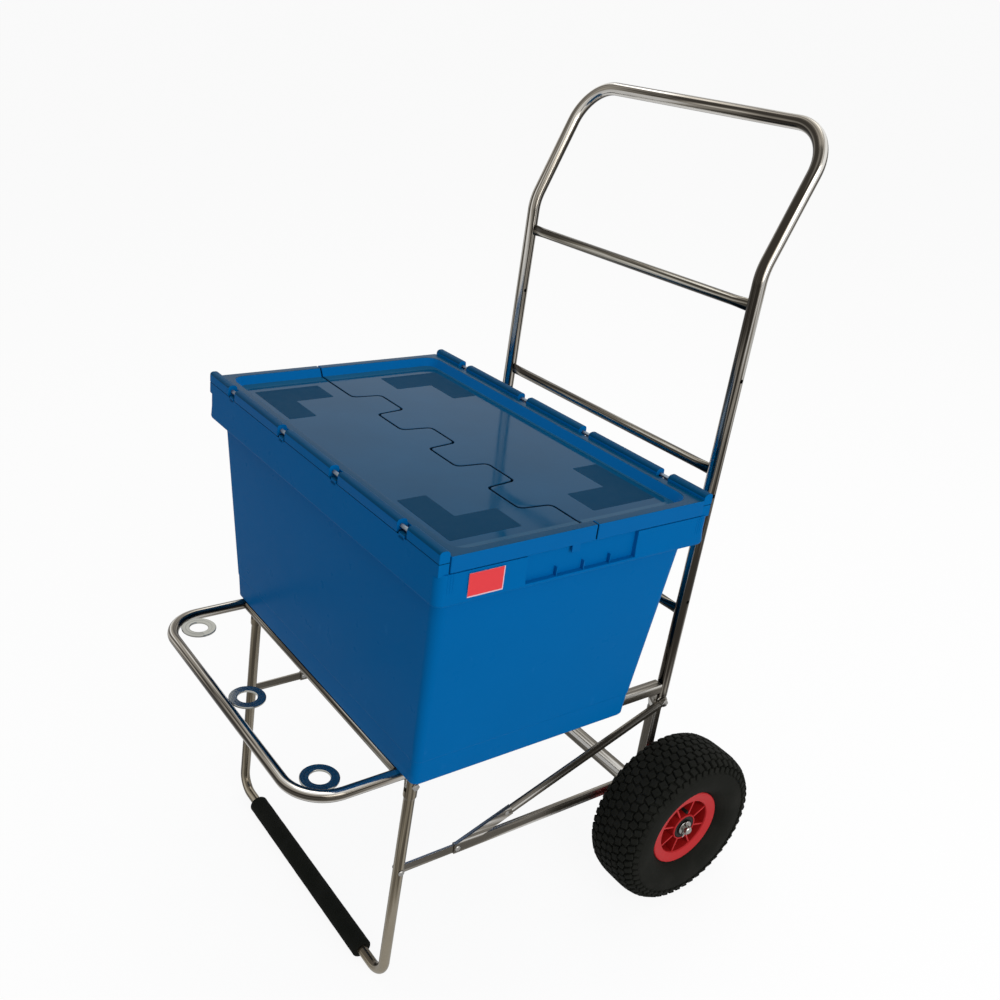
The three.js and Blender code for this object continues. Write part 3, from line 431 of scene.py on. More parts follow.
def applied(mesh: Mesh, kind: str, **settings: Any) -> Mesh:
    """Runs one modifier on a mesh.

    Args:
        mesh: The mesh, which is used up.
        kind: The modifier's type.
        **settings: Its settings by name.

    Returns:
        The new mesh.
    """
    carrier = linked("carrier", mesh)
    modifier = carrier.modifiers.new("shape", kind)
    for name, value in settings.items():
        setattr(modifier, name, value)
    return evaluated(carrier)


def evaluated(carrier: bpy.types.Object) -> Mesh:
    """Turns an object's modifiers into a plain mesh.

    Args:
        carrier: The object, which is removed with its mesh.

    Returns:
        The new mesh.
    """
    source = carrier.data
    view = bpy.context.evaluated_depsgraph_get()
    result = bpy.data.meshes.new_from_object(carrier.evaluated_get(view))
    bpy.data.objects.remove(carrier)
    bpy.data.meshes.remove(source)
    return result


def cut_away(mesh: Mesh, tool: Mesh) -> Mesh:
    """Takes one closed mesh away from another.

    Args:
        mesh: The mesh that is cut, which is used up.
        tool: What is taken away, which is used up.

    Returns:
        The rest.
    """
    other = linked("tool", tool)
    result = applied(mesh, "BOOLEAN", operation="DIFFERENCE", solver="EXACT", object=other)
    bpy.data.objects.remove(other)
    bpy.data.meshes.remove(tool)
    return result


def softened(mesh: Mesh, width: float, segments: int = 2, angle: float = 28) -> Mesh:
    """Rounds a mesh's edges.

    Args:
        mesh: The mesh, which is used up.
        width: How far each edge is rounded, in the mesh's own unit.
        segments: How many faces cross each edge.
        angle: The least angle in degrees at which an edge is rounded.

    Returns:
        The rounded mesh.
    """
    flat = math.radians(0.5)

    def dissolve(shell: bmesh.types.BMesh) -> None:
        """Joins the faces that lie in one plane."""
        bmesh.ops.dissolve_limit(shell, angle_limit=flat, verts=shell.verts, edges=shell.edges)

    settings = {"limit_method": "ANGLE", "angle_limit": math.radians(angle), "use_clamp_overlap": True}
    return applied(edited(mesh, dissolve), "BEVEL", width=width, segments=segments, **settings)


def cut_to_triangles(shell: bmesh.types.BMesh) -> None:
    """Cuts every face with more than four corners into triangles."""
    bmesh.ops.triangulate(shell, faces=[face for face in shell.faces if len(face.verts) > 4])


def merged(meshes: Iterable[Mesh]) -> Mesh:
    """Puts several meshes into one.

    Args:
        meshes: The meshes, which are used up.

    Returns:
        The one mesh.
    """
    whole = bmesh.new()
    for mesh in meshes:
        whole.from_mesh(mesh)
        bpy.data.meshes.remove(mesh)
    result = bpy.data.meshes.new("draft")
    whole.to_mesh(result)
    whole.free()
    return result


def moved(mesh: Mesh, matrix: Matrix) -> Mesh:
    """Moves a mesh's points."""
    mesh.transform(matrix)
    return mesh


def painted(mesh: Mesh, index_of: Callable[[bpy.types.MeshPolygon], int]) -> Mesh:
    """Gives each face the number of its finish.

    Args:
        mesh: The mesh.
        index_of: What finds a face's number.

    Returns:
        The mesh.
    """
    for polygon in mesh.polygons:
        polygon.material_index = index_of(polygon)
    return mesh


def node_copy(node: str) -> Mesh:
    """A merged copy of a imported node's mesh, without its UV places.

    Args:
        node: The node's name.

    Returns:
        The mesh, in metres.
    """

    def merge(shell: bmesh.types.BMesh) -> None:
        """Merges the points that lie together."""
        bmesh.ops.remove_doubles(shell, verts=shell.verts, dist=2e-6)

    mesh = edited(frame["nodes"][node].data, merge, bpy.data.meshes.new("draft"))
    for layer in list(mesh.uv_layers):
        mesh.uv_layers.remove(layer)
    return mesh


def lay_grain(mesh: Mesh, direction: Vector) -> Mesh:
    """Gives a bar UV places that run along it and differ from face to face.

    Args:
        mesh: The bar, in metres.
        direction: The way that the grain runs.

    Returns:
        The mesh.
    """
    nearly_parallel, shift_x, shift_z = 0.3, 0.013, 0.007
    along = direction.normalized()
    layer = mesh.uv_layers.get(UV_NAME) or mesh.uv_layers.new(name=UV_NAME)
    for face in mesh.polygons:
        across = face.normal.cross(along)
        if across.length < nearly_parallel:
            across = along.orthogonal()
        across.normalize()
        shift = face.normal.x * shift_x + face.normal.z * shift_z
        for index in face.loop_indices:
            point = mesh.vertices[mesh.loops[index].vertex_index].co
            layer.data[index].uv = (point.dot(across) + shift, point.dot(along))
    return mesh


# Node trees


class Graph:
    """Fills a node tree by short calls."""

    def __init__(self, tree: bpy.types.NodeTree) -> None:
        """Takes the tree to fill."""
        self.tree = tree

    def add(self, kind: str, inputs: Inputs | None = None, **settings: Any) -> bpy.types.Node:
        """Adds a node.

        Args:
            kind: The node's type.
            inputs: A value or a socket for each named or numbered input.
            **settings: The node's own settings.

        Returns:
            The node.
        """
        node = self.tree.nodes.new(kind)
        for name, value in settings.items():
            setattr(node, name, value)
        self.feed(node, inputs or {})
        return node

    def feed(self, node: bpy.types.Node, inputs: Inputs) -> None:
        """Links or sets a node's inputs.

        Args:
            node: The node.
            inputs: A value or a socket for each named or numbered input.
        """
        for name, value in inputs.items():
            if isinstance(value, Socket):
                self.tree.links.new(value, node.inputs[name])
            else:
                node.inputs[name].default_value = value

    def declare(self, way: str, sockets: dict[str, str]) -> None:
        """Gives the tree its own named inputs or outputs, each with its type."""
        for label, kind in sockets.items():
            self.tree.interface.new_socket(label, in_out=way, socket_type=f"NodeSocket{kind}")

    def maths(self, operation: str, *values: float | Socket) -> Socket:
        """The result of a sum, from its operation and its numbers in order."""
        return self.add("ShaderNodeMath", dict(enumerate(values)), operation=operation).outputs[0]

    def noise(
        self,
        place: Socket,
        scale: float | Socket,
        detail: float = 2.0,
        rough: float = 0.5,
        flat: bool = False,
    ) -> Socket:
        """The value of a noise.

        Args:
            place: Where it is read.
            scale: Its scale.
            detail: How many finer layers it has.
            rough: How strong the finer layers are.
            flat: Whether it varies in the plane only.

        Returns:
            The value.
        """
        inputs = {"Vector": place, "Scale": scale, "Detail": detail, "Roughness": rough}
        return self.add("ShaderNodeTexNoise", inputs, noise_dimensions="2D" if flat else "3D").outputs["Fac"]

    def stretched(self, place: Socket, scale: Sequence[float], turn: float = 0.0) -> Socket:
        """A place that is turned about Z and stretched."""
        inputs = {"Vector": place, "Scale": scale, "Rotation": (0.0, 0.0, turn)}
        return self.add("ShaderNodeMapping", inputs).outputs[0]

    def mixed(self, share: Socket, first: Any, second: Any) -> Socket:
        """Two colours mixed by a share."""
        inputs = {"Factor": share, "A": first, "B": second}
        return self.add("ShaderNodeMix", inputs, data_type="RGBA").outputs["Result"]

    def ramp(self, factor: Socket, stops: Sequence[tuple[float, Colour]]) -> Socket:
        """A colour that follows a factor.

        Args:
            factor: The factor, 0 to 1.
            stops: Places on the ramp, each with its colour.

        Returns:
            The colour.
        """
        node = self.add("ShaderNodeValToRGB", {"Fac": factor})
        elements = node.color_ramp.elements
        while len(elements) < len(stops):
            elements.new(0.5)
        for element, (place, colour) in zip(elements, stops):
            element.position = place
            element.color = (*colour, 1)
        return node.outputs["Color"]

    def bump(self, height: Socket, depth: float, strength: float = 0.6) -> Socket:
        """A normal from a height."""
        inputs = {"Height": height, "Strength": strength, "Distance": depth}
        return self.add("ShaderNodeBump", inputs).outputs["Normal"]

    def tone(self, place: Socket, colour: Any, amount: float, scale: float) -> Socket:
        """A colour that clouds over by an amount."""
        inputs = {"Vector": place, "Color": colour, "Amount": amount, "Scale": scale}
        return self.add("ShaderNodeGroup", inputs, node_tree=EFFECTS.tone).outputs["Color"]

    def skin(self, place: Socket, scale: float, roughness: float, spread: float) -> Any:
        """A fine skin's roughness and height."""
        inputs = {"Vector": place, "Scale": scale, "Roughness": roughness, "Spread": spread}
        return self.add("ShaderNodeGroup", inputs, node_tree=EFFECTS.skin).outputs


class RepeatTree(Graph):
    """A Geometry Nodes tree that repeats the mesh it is put on, and dresses it in one material."""

    def __init__(self, name: str, inputs: dict[str, str]) -> None:
        """Builds the tree.

        Args:
            name: The tree's name.
            inputs: The type of each named input.
        """
        super().__init__(bpy.data.node_groups.new(name, "GeometryNodeTree"))
        self.declare("INPUT", {"Geometry": "Geometry", **inputs, "Material": "Material"})
        self.declare("OUTPUT", {"Geometry": "Geometry"})
        self.start = self.add("NodeGroupInput").outputs
        end = self.add("NodeGroupOutput")
        item = {"Instance": self.start["Geometry"], **self.places()}
        placed = self.add("GeometryNodeInstanceOnPoints", item)
        real = self.add("GeometryNodeRealizeInstances", {"Geometry": placed.outputs["Instances"]})
        result = {"Geometry": real.outputs["Geometry"], "Material": self.start["Material"]}
        dressed = self.add("GeometryNodeSetMaterial", result)
        self.feed(end, {"Geometry": dressed.outputs["Geometry"]})

    def places(self) -> Inputs:
        """The points that the item is put on, and how it is turned there; each tree has its own."""
        raise NotImplementedError

    def run(self, mesh: Mesh, material: bpy.types.Material, **values: Any) -> Mesh:
        """Runs the tree on a mesh.

        Args:
            mesh: The item that is repeated, which is used up.
            material: The material of the result.
            **values: The named inputs.

        Returns:
            The repeated mesh.
        """
        carrier = linked("carrier", mesh)
        modifier = carrier.modifiers.new("repeat", "NODES")
        modifier.node_group = self.tree
        values["Material"] = material
        for item in self.tree.interface.items_tree:
            if item.in_out == "INPUT" and item.name in values:
                modifier[item.identifier] = values[item.name]
        return evaluated(carrier)


class RoundTree(RepeatTree):
    """Repeats an item round the X axis."""

    def __init__(self) -> None:
        """Builds the tree."""
        super().__init__("Repeat round the axle", {"Count": "Int", "Turn": "Float"})

    def places(self) -> Inputs:
        """Points at the axle, each turned one step further.

        Returns:
            The points and the turns, by input.
        """
        line = self.add("GeometryNodeMeshLine", {"Count": self.start["Count"], "Offset": (0, 0, 0)})
        step = self.maths("DIVIDE", FULL_TURN, self.start["Count"])
        index = self.add("GeometryNodeInputIndex").outputs[0]
        angle = self.maths("MULTIPLY_ADD", index, step, self.start["Turn"])
        euler = self.add("ShaderNodeCombineXYZ", {"X": angle})
        turn = self.add("FunctionNodeEulerToRotation", {0: euler.outputs[0]})
        return {"Points": line.outputs["Mesh"], "Rotation": turn.outputs[0]}


class RowTree(RepeatTree):
    """Repeats an item in a row."""

    def __init__(self) -> None:
        """Builds the tree."""
        super().__init__("Repeat in a row", {"Count": "Int", "First": "Vector", "Step": "Vector"})

    def places(self) -> Inputs:
        """Points in a row from the first, one step apart.

        Returns:
            The points, by input.
        """
        sockets = {"Count": "Count", "Start Location": "First", "Offset": "Step"}
        line = self.add("GeometryNodeMeshLine", {name: self.start[own] for name, own in sockets.items()})
        return {"Points": line.outputs["Mesh"]}


class Effects:
    """The surface effects that several finishes share, each one node group."""

    def __init__(self) -> None:
        """Builds the groups."""
        self.tone = self.build_tone()
        self.skin = self.build_skin()
        self.scratches = self.build_scratches()

    @staticmethod
    def group(
        name: str, inputs: dict[str, str], outputs: dict[str, str]
    ) -> tuple[Graph, Any, bpy.types.Node]:
        """Starts a shader node group.

        Args:
            name: The group's name.
            inputs: The type of each named input.
            outputs: The type of each named output.

        Returns:
            The group's graph, its own inputs as sockets, and its output node.
        """
        graph = Graph(bpy.data.node_groups.new(name, "ShaderNodeTree"))
        graph.declare("INPUT", inputs)
        graph.declare("OUTPUT", outputs)
        return graph, graph.add("NodeGroupInput").outputs, graph.add("NodeGroupOutput")

    def build_tone(self) -> bpy.types.NodeTree:
        """A colour that clouds over slowly from place to place.

        Returns:
            The group.
        """
        inputs = {"Vector": "Vector", "Color": "Color", "Amount": "Float", "Scale": "Float"}
        graph, start, end = self.group("Cloudy tone", inputs, {"Color": "Color"})
        cloud = graph.noise(start["Vector"], start["Scale"], 4.0, 0.6)
        level = graph.maths("MULTIPLY_ADD", graph.maths("SUBTRACT", cloud, 0.5), start["Amount"], 1.0)
        scaled = graph.add("ShaderNodeVectorMath", {0: start["Color"], "Scale": level}, operation="SCALE")
        graph.feed(end, {"Color": scaled.outputs["Vector"]})
        return graph.tree

    def build_skin(self) -> bpy.types.NodeTree:
        """A moulded surface: fine height and a roughness that varies more slowly.

        Returns:
            The group.
        """
        inputs = {"Vector": "Vector", "Scale": "Float", "Roughness": "Float", "Spread": "Float"}
        graph, start, end = self.group("Surface skin", inputs, {"Roughness": "Float", "Height": "Float"})
        fine = graph.noise(start["Vector"], start["Scale"], 3.0)
        broad = graph.noise(start["Vector"], graph.maths("MULTIPLY", start["Scale"], 0.03), 5.0)
        centred = graph.maths("SUBTRACT", broad, 0.5)
        rough = graph.maths("MULTIPLY_ADD", centred, start["Spread"], start["Roughness"])
        graph.feed(end, {"Roughness": rough, "Height": fine})
        return graph.tree

    def build_scratches(self) -> bpy.types.NodeTree:
        """Thin scratches in two directions, as a mask.

        Returns:
            The group.
        """
        inputs = {"Vector": "Vector", "Scale": "Float", "Density": "Float"}
        graph, start, end = self.group("Scratches", inputs, {"Mask": "Float"})
        masks = []
        for turn, stretch in ((0.5, (1.0, 0.04, 0.5)), (-0.9, (0.05, 1.0, 0.6))):
            noise = graph.noise(graph.stretched(start["Vector"], stretch, turn), start["Scale"])
            limit = graph.maths("SUBTRACT", 0.74, start["Density"])
            inputs = {"Value": noise, "From Min": limit, "From Max": 0.8}
            masks.append(graph.add("ShaderNodeMapRange", inputs).outputs["Result"])
        graph.feed(end, {"Mask": graph.maths("MAXIMUM", *masks)})
        return graph.tree


EFFECTS = Effects()


# Finishes


@dataclass(frozen=True)
class Finish:
    """What one surface is made of."""

    name: str
    colour: Colour
    roughness: float = 0.4

    def material(self) -> bpy.types.Material:
        """The finish's material, made once.

        Returns:
            The material.
        """
        material = bpy.data.materials.get(self.name)
        if not material:
            material = bpy.data.materials.new(self.name)
            material.use_nodes = True
            graph = Graph(material.node_tree)
            place = graph.add("ShaderNodeTexCoord").outputs["Object"]
            graph.feed(material.node_tree.nodes["Principled BSDF"], self.look(graph, place))
        return material

    def look(self, graph: Graph, place: Socket) -> Inputs:
        """What goes into the shader, from a place on the object in metres; each kind has its own."""
        raise NotImplementedError


@dataclass(frozen=True)
class PolishedSteel(Finish):
    """Polished stainless steel: long dark and light streaks along the tube, which are painted reflections of
    dark and bright surroundings, over a fine grain from drawing and polishing.
    """

    # The dark tone, the colour and the light tone are painted reflections: dark surroundings, the mid tone
    # and bright surroundings mirrored in the polish.
    dark: Colour = (0.05, 0.045, 0.04)
    light: Colour = (0.7, 0.68, 0.64)
    dark_share: float = 0.42
    reflection_streaks: float = 260.0
    metal: float = 1.0

    def look(self, graph: Graph, place: Socket) -> Inputs:
        """Painted reflections as streaks of tone along the tube, fine grain and a small change of gloss.

        Args:
            graph: The material's graph.
            place: Where a point lies on the object, in metres.

        Returns:
            The shader's inputs.
        """
        along = graph.add("ShaderNodeUVMap", uv_map=UV_NAME).outputs["UV"]
        # Painted reflections: streaks stretched along the tube stand for dark and bright surroundings
        # mirrored in the polish.
        reflection_streak = graph.noise(graph.stretched(along, (self.reflection_streaks, 3.2, 1.0)), 0.6, 3.0, 0.55, True)
        middle = self.dark_share
        half_tone = tuple(c * 0.5 for c in self.colour)
        stops = [(middle - 0.06, self.dark), (middle, half_tone)]
        stops += [(middle + 0.06, self.colour), (middle + 0.14, self.light)]
        grain = graph.noise(graph.stretched(along, (4200.0, 60.0, 1.0)), 1.0, flat=True)
        gloss = {"Value": grain, "To Min": self.roughness * 0.75, "To Max": self.roughness * 1.35}
        return {
            "Base Color": graph.tone(place, graph.ramp(reflection_streak, stops), 0.35, 9.0),
            "Roughness": graph.add("ShaderNodeMapRange", gloss).outputs["Result"],
            "Metallic": self.metal,
            "Normal": graph.bump(grain, 0.00004),
        }


@dataclass(frozen=True)
class ZincSteel(Finish):
    """Zinc-plated fasteners: cloudy pale grey metal."""

    def look(self, graph: Graph, place: Socket) -> Inputs:
        """A cloudy tone and an uneven gloss.

        Args:
            graph: The material's graph.
            place: Where a point lies on the object, in metres.

        Returns:
            The shader's inputs.
        """
        skin = graph.skin(place, 2400.0, self.roughness, 0.25)
        return {
            "Base Color": graph.tone(place, (*self.colour, 1), 0.7, 260.0),
            "Roughness": skin["Roughness"],
            "Metallic": 1.0,
            "Normal": graph.bump(skin["Height"], 0.00003),
        }


@dataclass(frozen=True)
class MouldedPlastic(Finish):
    """Injection-moulded plastic, with a faint cloud of tone, fine scuffs and a moulded skin."""

    gloss: float = 0.3
    cloud: float = 0.16
    scuffs: float = 0.12
    skin_scale: float = 1400.0
    depth: float = 0.00005
    ripple: float = 0.0

    def look(self, graph: Graph, place: Socket) -> Inputs:
        """Tone with pale scuffs, roughness and bump, or slow ripples where there are any.

        Args:
            graph: The material's graph.
            place: Where a point lies on the object, in metres.

        Returns:
            The shader's inputs.
        """
        toned = graph.tone(place, (*self.colour, 1), self.cloud, 7.0)
        inputs = {"Vector": place, "Scale": 55.0, "Density": 0.03}
        mask = graph.add("ShaderNodeGroup", inputs, node_tree=EFFECTS.scratches).outputs["Mask"]
        pale = tuple(min(1.0, c * 1.5 + 0.05) for c in self.colour)
        skin = graph.skin(place, self.skin_scale, self.roughness, 0.16)
        if self.ripple:
            normal = graph.bump(graph.noise(place, 5.0, 1.0), self.ripple, 1.0)
        else:
            normal = graph.bump(skin["Height"], self.depth)
        return {
            "Base Color": graph.mixed(graph.maths("MULTIPLY", mask, self.scuffs), toned, (*pale, 1)),
            "Roughness": skin["Roughness"],
            "Specular IOR Level": self.gloss,
            "Normal": normal,
        }


@dataclass(frozen=True)
class Rubber(Finish):
    """Matt rubber or foam, with a dusty tone and a grainy skin."""

    grain_scale: float = 900.0
    depth: float = 0.0003
    dust: Colour = (0.1, 0.095, 0.085)
    dust_share: float = 0.12

    def look(self, graph: Graph, place: Socket) -> Inputs:
        """Dust in a cloud, grain and bump.

        Args:
            graph: The material's graph.
            place: Where a point lies on the object, in metres.

        Returns:
            The shader's inputs.
        """
        cloud = graph.noise(place, 28.0, 6.0)
        inputs = {"Value": cloud, "From Min": 0.45, "From Max": 0.75, "To Max": self.dust_share}
        share = graph.add("ShaderNodeMapRange", inputs).outputs["Result"]
        skin = graph.skin(place, self.grain_scale, self.roughness, 0.2)
        return {
            "Base Color": graph.mixed(share, (*self.colour, 1), (*self.dust, 1)),
            "Roughness": skin["Roughness"],
            "Specular IOR Level": 0.12,
            "Normal": graph.bump(skin["Height"], self.depth),
        }


class Finishes:
    """The trolley's own finishes."""

    # In the steel finishes below, the dark, mid and light tones are painted reflections of dark and bright
    # surroundings; the darker rung, bar and leg colours are painted reflections too.
    tube = PolishedSteel(
        "Polished tube", (0.3, 0.27, 0.225), 0.13, dark=(0.035, 0.03, 0.024), dark_share=0.47
    )
    rung = PolishedSteel(
        "Polished rung",
        (0.13, 0.115, 0.09),
        0.16,
        dark=(0.03, 0.026, 0.02),
        light=(0.45, 0.43, 0.38),
        dark_share=0.46,
    )
    bar = PolishedSteel(
        "Polished bar",
        (0.26, 0.235, 0.195),
        0.26,
        dark=(0.1, 0.088, 0.07),
        dark_share=0.46,
        reflection_streaks=160.0,
        metal=0.8,
    )
    # Near-black for the faces inside the handle's holes: painted shade of the hollow tube's inside.
    hole = ZincSteel("Hole shade", (0.02, 0.018, 0.015), 0.6)
    ring = PolishedSteel(
        "Polished ring", (0.27, 0.27, 0.25), 0.16, light=(0.42, 0.42, 0.38), dark_share=0.36, reflection_streaks=120.0
    )
    leg = PolishedSteel(
        "Polished leg",
        (0.2, 0.168, 0.118),
        0.22,
        dark=(0.075, 0.062, 0.044),
        light=(0.34, 0.3, 0.23),
        dark_share=0.46,
        metal=0.85,
    )
    zinc = ZincSteel("Zinc plate", (0.36, 0.35, 0.33), 0.24)
    hinge_wire = ZincSteel("Hinge wire", (0.2, 0.24, 0.28), 0.45)
    crate = MouldedPlastic("Crate plastic", from_srgb(0, 101, 168), 0.3, gloss=0.012, cloud=0.1)
    # Faces that look up above the rim take a darker copy of the crate's blue: painted shade on the tops.
    crate_top_shade = MouldedPlastic("Crate top shade", (0.0, 0.06, 0.15), 0.4, gloss=0.03, cloud=0.3)
    lid_side = MouldedPlastic("Lid side", from_srgb(0, 99, 166), 0.4, gloss=0.03, cloud=0.12)
    # The lid's frame top and hinge bar tops below take darker copies of the lid's blue: painted shade on
    # faces that look up. The panel and the border are darker than the sides as well, partly painted shade on
    # upward faces.
    lid_top = MouldedPlastic("Lid top shade", (0.0, 0.055, 0.13), 0.2, gloss=0.05, cloud=0.3, scuffs=0.3)
    lid_bar = MouldedPlastic("Lid bar shade", (0.0, 0.055, 0.14), 0.42, gloss=0.03, cloud=0.3)
    lid_panel = MouldedPlastic(
        "Lid panel", (0.0, 0.064, 0.152), 0.08, gloss=0.06, cloud=0.4, scuffs=0.3, ripple=0.0006
    )
    lid_border = MouldedPlastic("Lid border", (0.01, 0.088, 0.18), 0.16, gloss=0.08, cloud=0.3, scuffs=0.3)
    # Near-black blue for the seam's walls: painted shade in the groove.
    lid_seam_shade = MouldedPlastic("Lid seam shade", (0.0, 0.015, 0.04), 0.5, gloss=0.05)
    lid_pad = MouldedPlastic(
        "Lid pad", from_srgb(5, 57, 87), 0.6, gloss=0.04, skin_scale=2600.0, depth=0.00008
    )
    label = MouldedPlastic("Label paper", from_srgb(230, 66, 72), 0.5, gloss=0.1, cloud=0.1)
    label_edge = MouldedPlastic("Label edge", from_srgb(226, 196, 206), 0.6, gloss=0.1, cloud=0.1)
    rim = MouldedPlastic("Rim plastic", from_srgb(194, 42, 46), 0.4, gloss=0.16, skin_scale=1800.0)
    # A darker red for the faces deep in the rim's pocket: painted shade.
    rim_pocket = MouldedPlastic("Rim pocket shade", from_srgb(148, 20, 20), 0.5, gloss=0.08, skin_scale=1800.0)
    hub = MouldedPlastic("Hub plastic", from_srgb(22, 22, 20), 0.5, gloss=0.2)
    tyre = Rubber("Tyre rubber", from_srgb(21, 22, 18), 0.85, dust_share=0.06)
    foam = Rubber(
        "Foam sleeve", from_srgb(17, 19, 15), 0.95, grain_scale=1500.0, depth=0.00025, dust_share=0.05
    )
    valve = Rubber("Valve rubber", from_srgb(24, 25, 23), 0.7)


# The workshop puts finished pieces on their bodies


@dataclass
class Workshop:
    """Turns meshes into pieces of the trolley."""

    placement: Placement
    round_tree: RoundTree
    row_tree: RowTree
    made: list[str] = field(default_factory=list)

    def piece(
        self,
        name: str,
        mesh: Mesh,
        finishes: Finish | Sequence[Finish],
        body: str,
        slot: str,
        nodes: Sequence[str] = (),
        smooth: float = 32,
        weighted: bool = False,
    ) -> None:
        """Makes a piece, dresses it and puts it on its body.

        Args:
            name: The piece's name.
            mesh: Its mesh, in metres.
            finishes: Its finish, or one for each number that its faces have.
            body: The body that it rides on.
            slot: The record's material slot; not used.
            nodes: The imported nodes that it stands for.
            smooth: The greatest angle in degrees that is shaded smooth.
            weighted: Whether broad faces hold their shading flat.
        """
        if weighted:
            mesh = edited(mesh, cut_to_triangles)
        single = isinstance(finishes, Finish)
        indices = [0 if single else polygon.material_index for polygon in mesh.polygons]
        mesh.materials.clear()
        for finish in [finishes] if single else finishes:
            mesh.materials.append(finish.material())
        mesh.polygons.foreach_set("material_index", indices)
        mesh.shade_smooth()
        mesh.set_sharp_from_angle(angle=math.radians(smooth))
        if weighted:
            mesh = applied(mesh, "WEIGHTED_NORMAL", keep_sharp=True, weight=80)
        mesh.name = name
        item = linked(name, mesh)
        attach(item, body)
        if nodes:
            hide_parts(*nodes)
        self.made.append(name)
        LOG.info("%s: %d faces on %s, for %s", name, len(mesh.polygons), body, ", ".join(nodes) or "itself")

    def steel(self, name: str, mesh: Mesh, finishes: Finish | Sequence[Finish], *nodes: str) -> None:
        """Makes a piece of the welded frame, from platform millimetres."""
        self.piece(name, moved(mesh, self.placement.platform), finishes, "frame", "frame_steel", nodes)

    def fastener(self, name: str, mesh: Mesh, *nodes: str) -> None:
        """Makes a zinc-plated piece of the frame, from platform millimetres."""
        placed = moved(mesh, self.placement.platform)
        self.piece(name, placed, Finishes.zinc, "frame", "fastener_steel", nodes)

    def bar_copy(self, node: str, width: float, along: Vector, segments: int = 3, **shading: Any) -> None:
        """Makes a piece from a bar's node, with rounded edges and grain along it.

        Args:
            node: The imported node.
            width: How far its edges are rounded, in millimetres.
            along: The bar's direction on the platform.
            segments: How many faces cross each edge.
            **shading: How it is shaded, where broad faces don't hold their shading flat.
        """
        mesh = softened(node_copy(node), width * MILLIMETRE, segments)
        lay_grain(mesh, self.placement.platform.to_3x3() @ along)
        shading = shading or {"weighted": True}
        self.piece(f"{node}_soft", mesh, Finishes.bar, "frame", "frame_steel", [node], **shading)

    def bolt_copy(self, node: str, width: float, segments: int) -> None:
        """Makes a piece from a bolt's node, with edges rounded by a width in millimetres."""
        mesh = softened(node_copy(node), width * MILLIMETRE, segments)
        self.piece(f"{node}_head", mesh, Finishes.zinc, "frame", "fastener_steel", [node])


# The trolley's own parts


@dataclass
class Handle:
    """The bent handle tube with its row of holes, and the three rungs."""

    half_width: float = 227
    radius: float = 9
    foot_y: float = 284
    foot_z: float = -16
    lean: float = 1.3
    top_lean: float = 25
    straight: float = 617
    top: float = 185
    kink_radius: float = 70
    corner_radius: float = 58
    rungs: tuple[tuple[str, float], ...] = (("low", 139), ("middle", 353), ("high", 574))
    holes: tuple[float, ...] = (158, 320, 480)
    hole_radius: float = 2.8
    drill_reach: float = 4
    rung_radius: float = 7
    rung_sides: int = 28
    rung_flatten: float = 26
    rung_flat: Pair = (2.5, 8)

    def on_handle(self, distance: float, x: float = 0) -> Vector:
        """A point at a distance up the straight part."""
        lean = math.radians(self.lean)
        return Vector((x, self.foot_y + distance * math.sin(lean), self.foot_z + distance * math.cos(lean)))

    def tube_mesh(self) -> Mesh:
        """The handle's tube, with a row of holes across each upright.

        Returns:
            The mesh, with number 1 on the faces inside the holes, which take a near-black finish as painted
            shade.
        """
        lean = math.radians(self.top_lean)
        rise = Vector((0, math.sin(lean), math.cos(lean))) * self.top
        uprights = (-self.half_width, self.half_width)
        foot_l, foot_r = (self.on_handle(0, x) for x in uprights)
        kink_l, kink_r = (self.on_handle(self.straight, x) for x in uprights)
        corners = [foot_l, kink_l, kink_l + rise, kink_r + rise, kink_r, foot_r]
        radii = [self.kink_radius, self.corner_radius, self.corner_radius, self.kink_radius]
        mesh = tube(filled_path(bent_path(corners, radii)), self.radius)
        holes = [self.on_handle(height) for height in self.holes]
        reaches = (-self.drill_reach, self.drill_reach)
        for hole in holes:
            for wall in (x + face for x in uprights for face in (-self.radius, self.radius)):
                ends = [Vector((wall + reach, hole.y, hole.z)) for reach in reaches]
                mesh = cut_away(mesh, tube(ends, self.hole_radius, 20))

        def index_of(polygon: bpy.types.MeshPolygon) -> int:
            """1 inside a hole, where the near-black finish is painted shade.

            Args:
                polygon: The face.

            Returns:
                The finish's number.
            """
            x, y, z = polygon.center
            deep = [h for h in holes if math.hypot(abs(x) - self.half_width, y - h.y) < self.radius - 0.3]
            return int(any(max(abs(y - h.y), abs(z - h.z)) < self.hole_radius + 0.4 for h in deep))

        return painted(mesh, index_of)

    def rung_mesh(self, height: float) -> Mesh:
        """A round rung whose ends are pressed flat.

        Args:
            height: Its distance up the handle.

        Returns:
            The mesh.
        """
        centre = self.on_handle(height)
        reach = self.half_width - self.radius - WELD_GAP
        inner = reach - self.rung_flatten
        ends = [-reach + self.rung_flatten * i / 12 for i in range(13)]
        stations = [*ends, *[-inner + 2 * inner * i / 6 for i in range(1, 6)], *[-x for x in reversed(ends)]]
        rings = []
        for x in stations:
            t = min(1.0, max(0.0, (abs(x) - inner) / self.rung_flatten))
            pressed = t * t * (3 - 2 * t)
            depth, tall = (self.rung_radius + (flat - self.rung_radius) * pressed for flat in self.rung_flat)
            turn = angles(self.rung_sides)
            rings.append([centre + Vector((x, depth * math.cos(a), tall * math.sin(a))) for a in turn])
        return skinned(rings, stations, girth(self.rung_radius, self.rung_sides))

    def build(self, shop: Workshop) -> None:
        """Makes the handle's pieces.

        Args:
            shop: The workshop that takes them.
        """
        shop.steel("handle", self.tube_mesh(), [Finishes.tube, Finishes.hole], "handle_tube")
        for name, height in self.rungs:
            shop.steel(f"rung_{name}", self.rung_mesh(height), Finishes.rung, f"handle_rung_{name}")


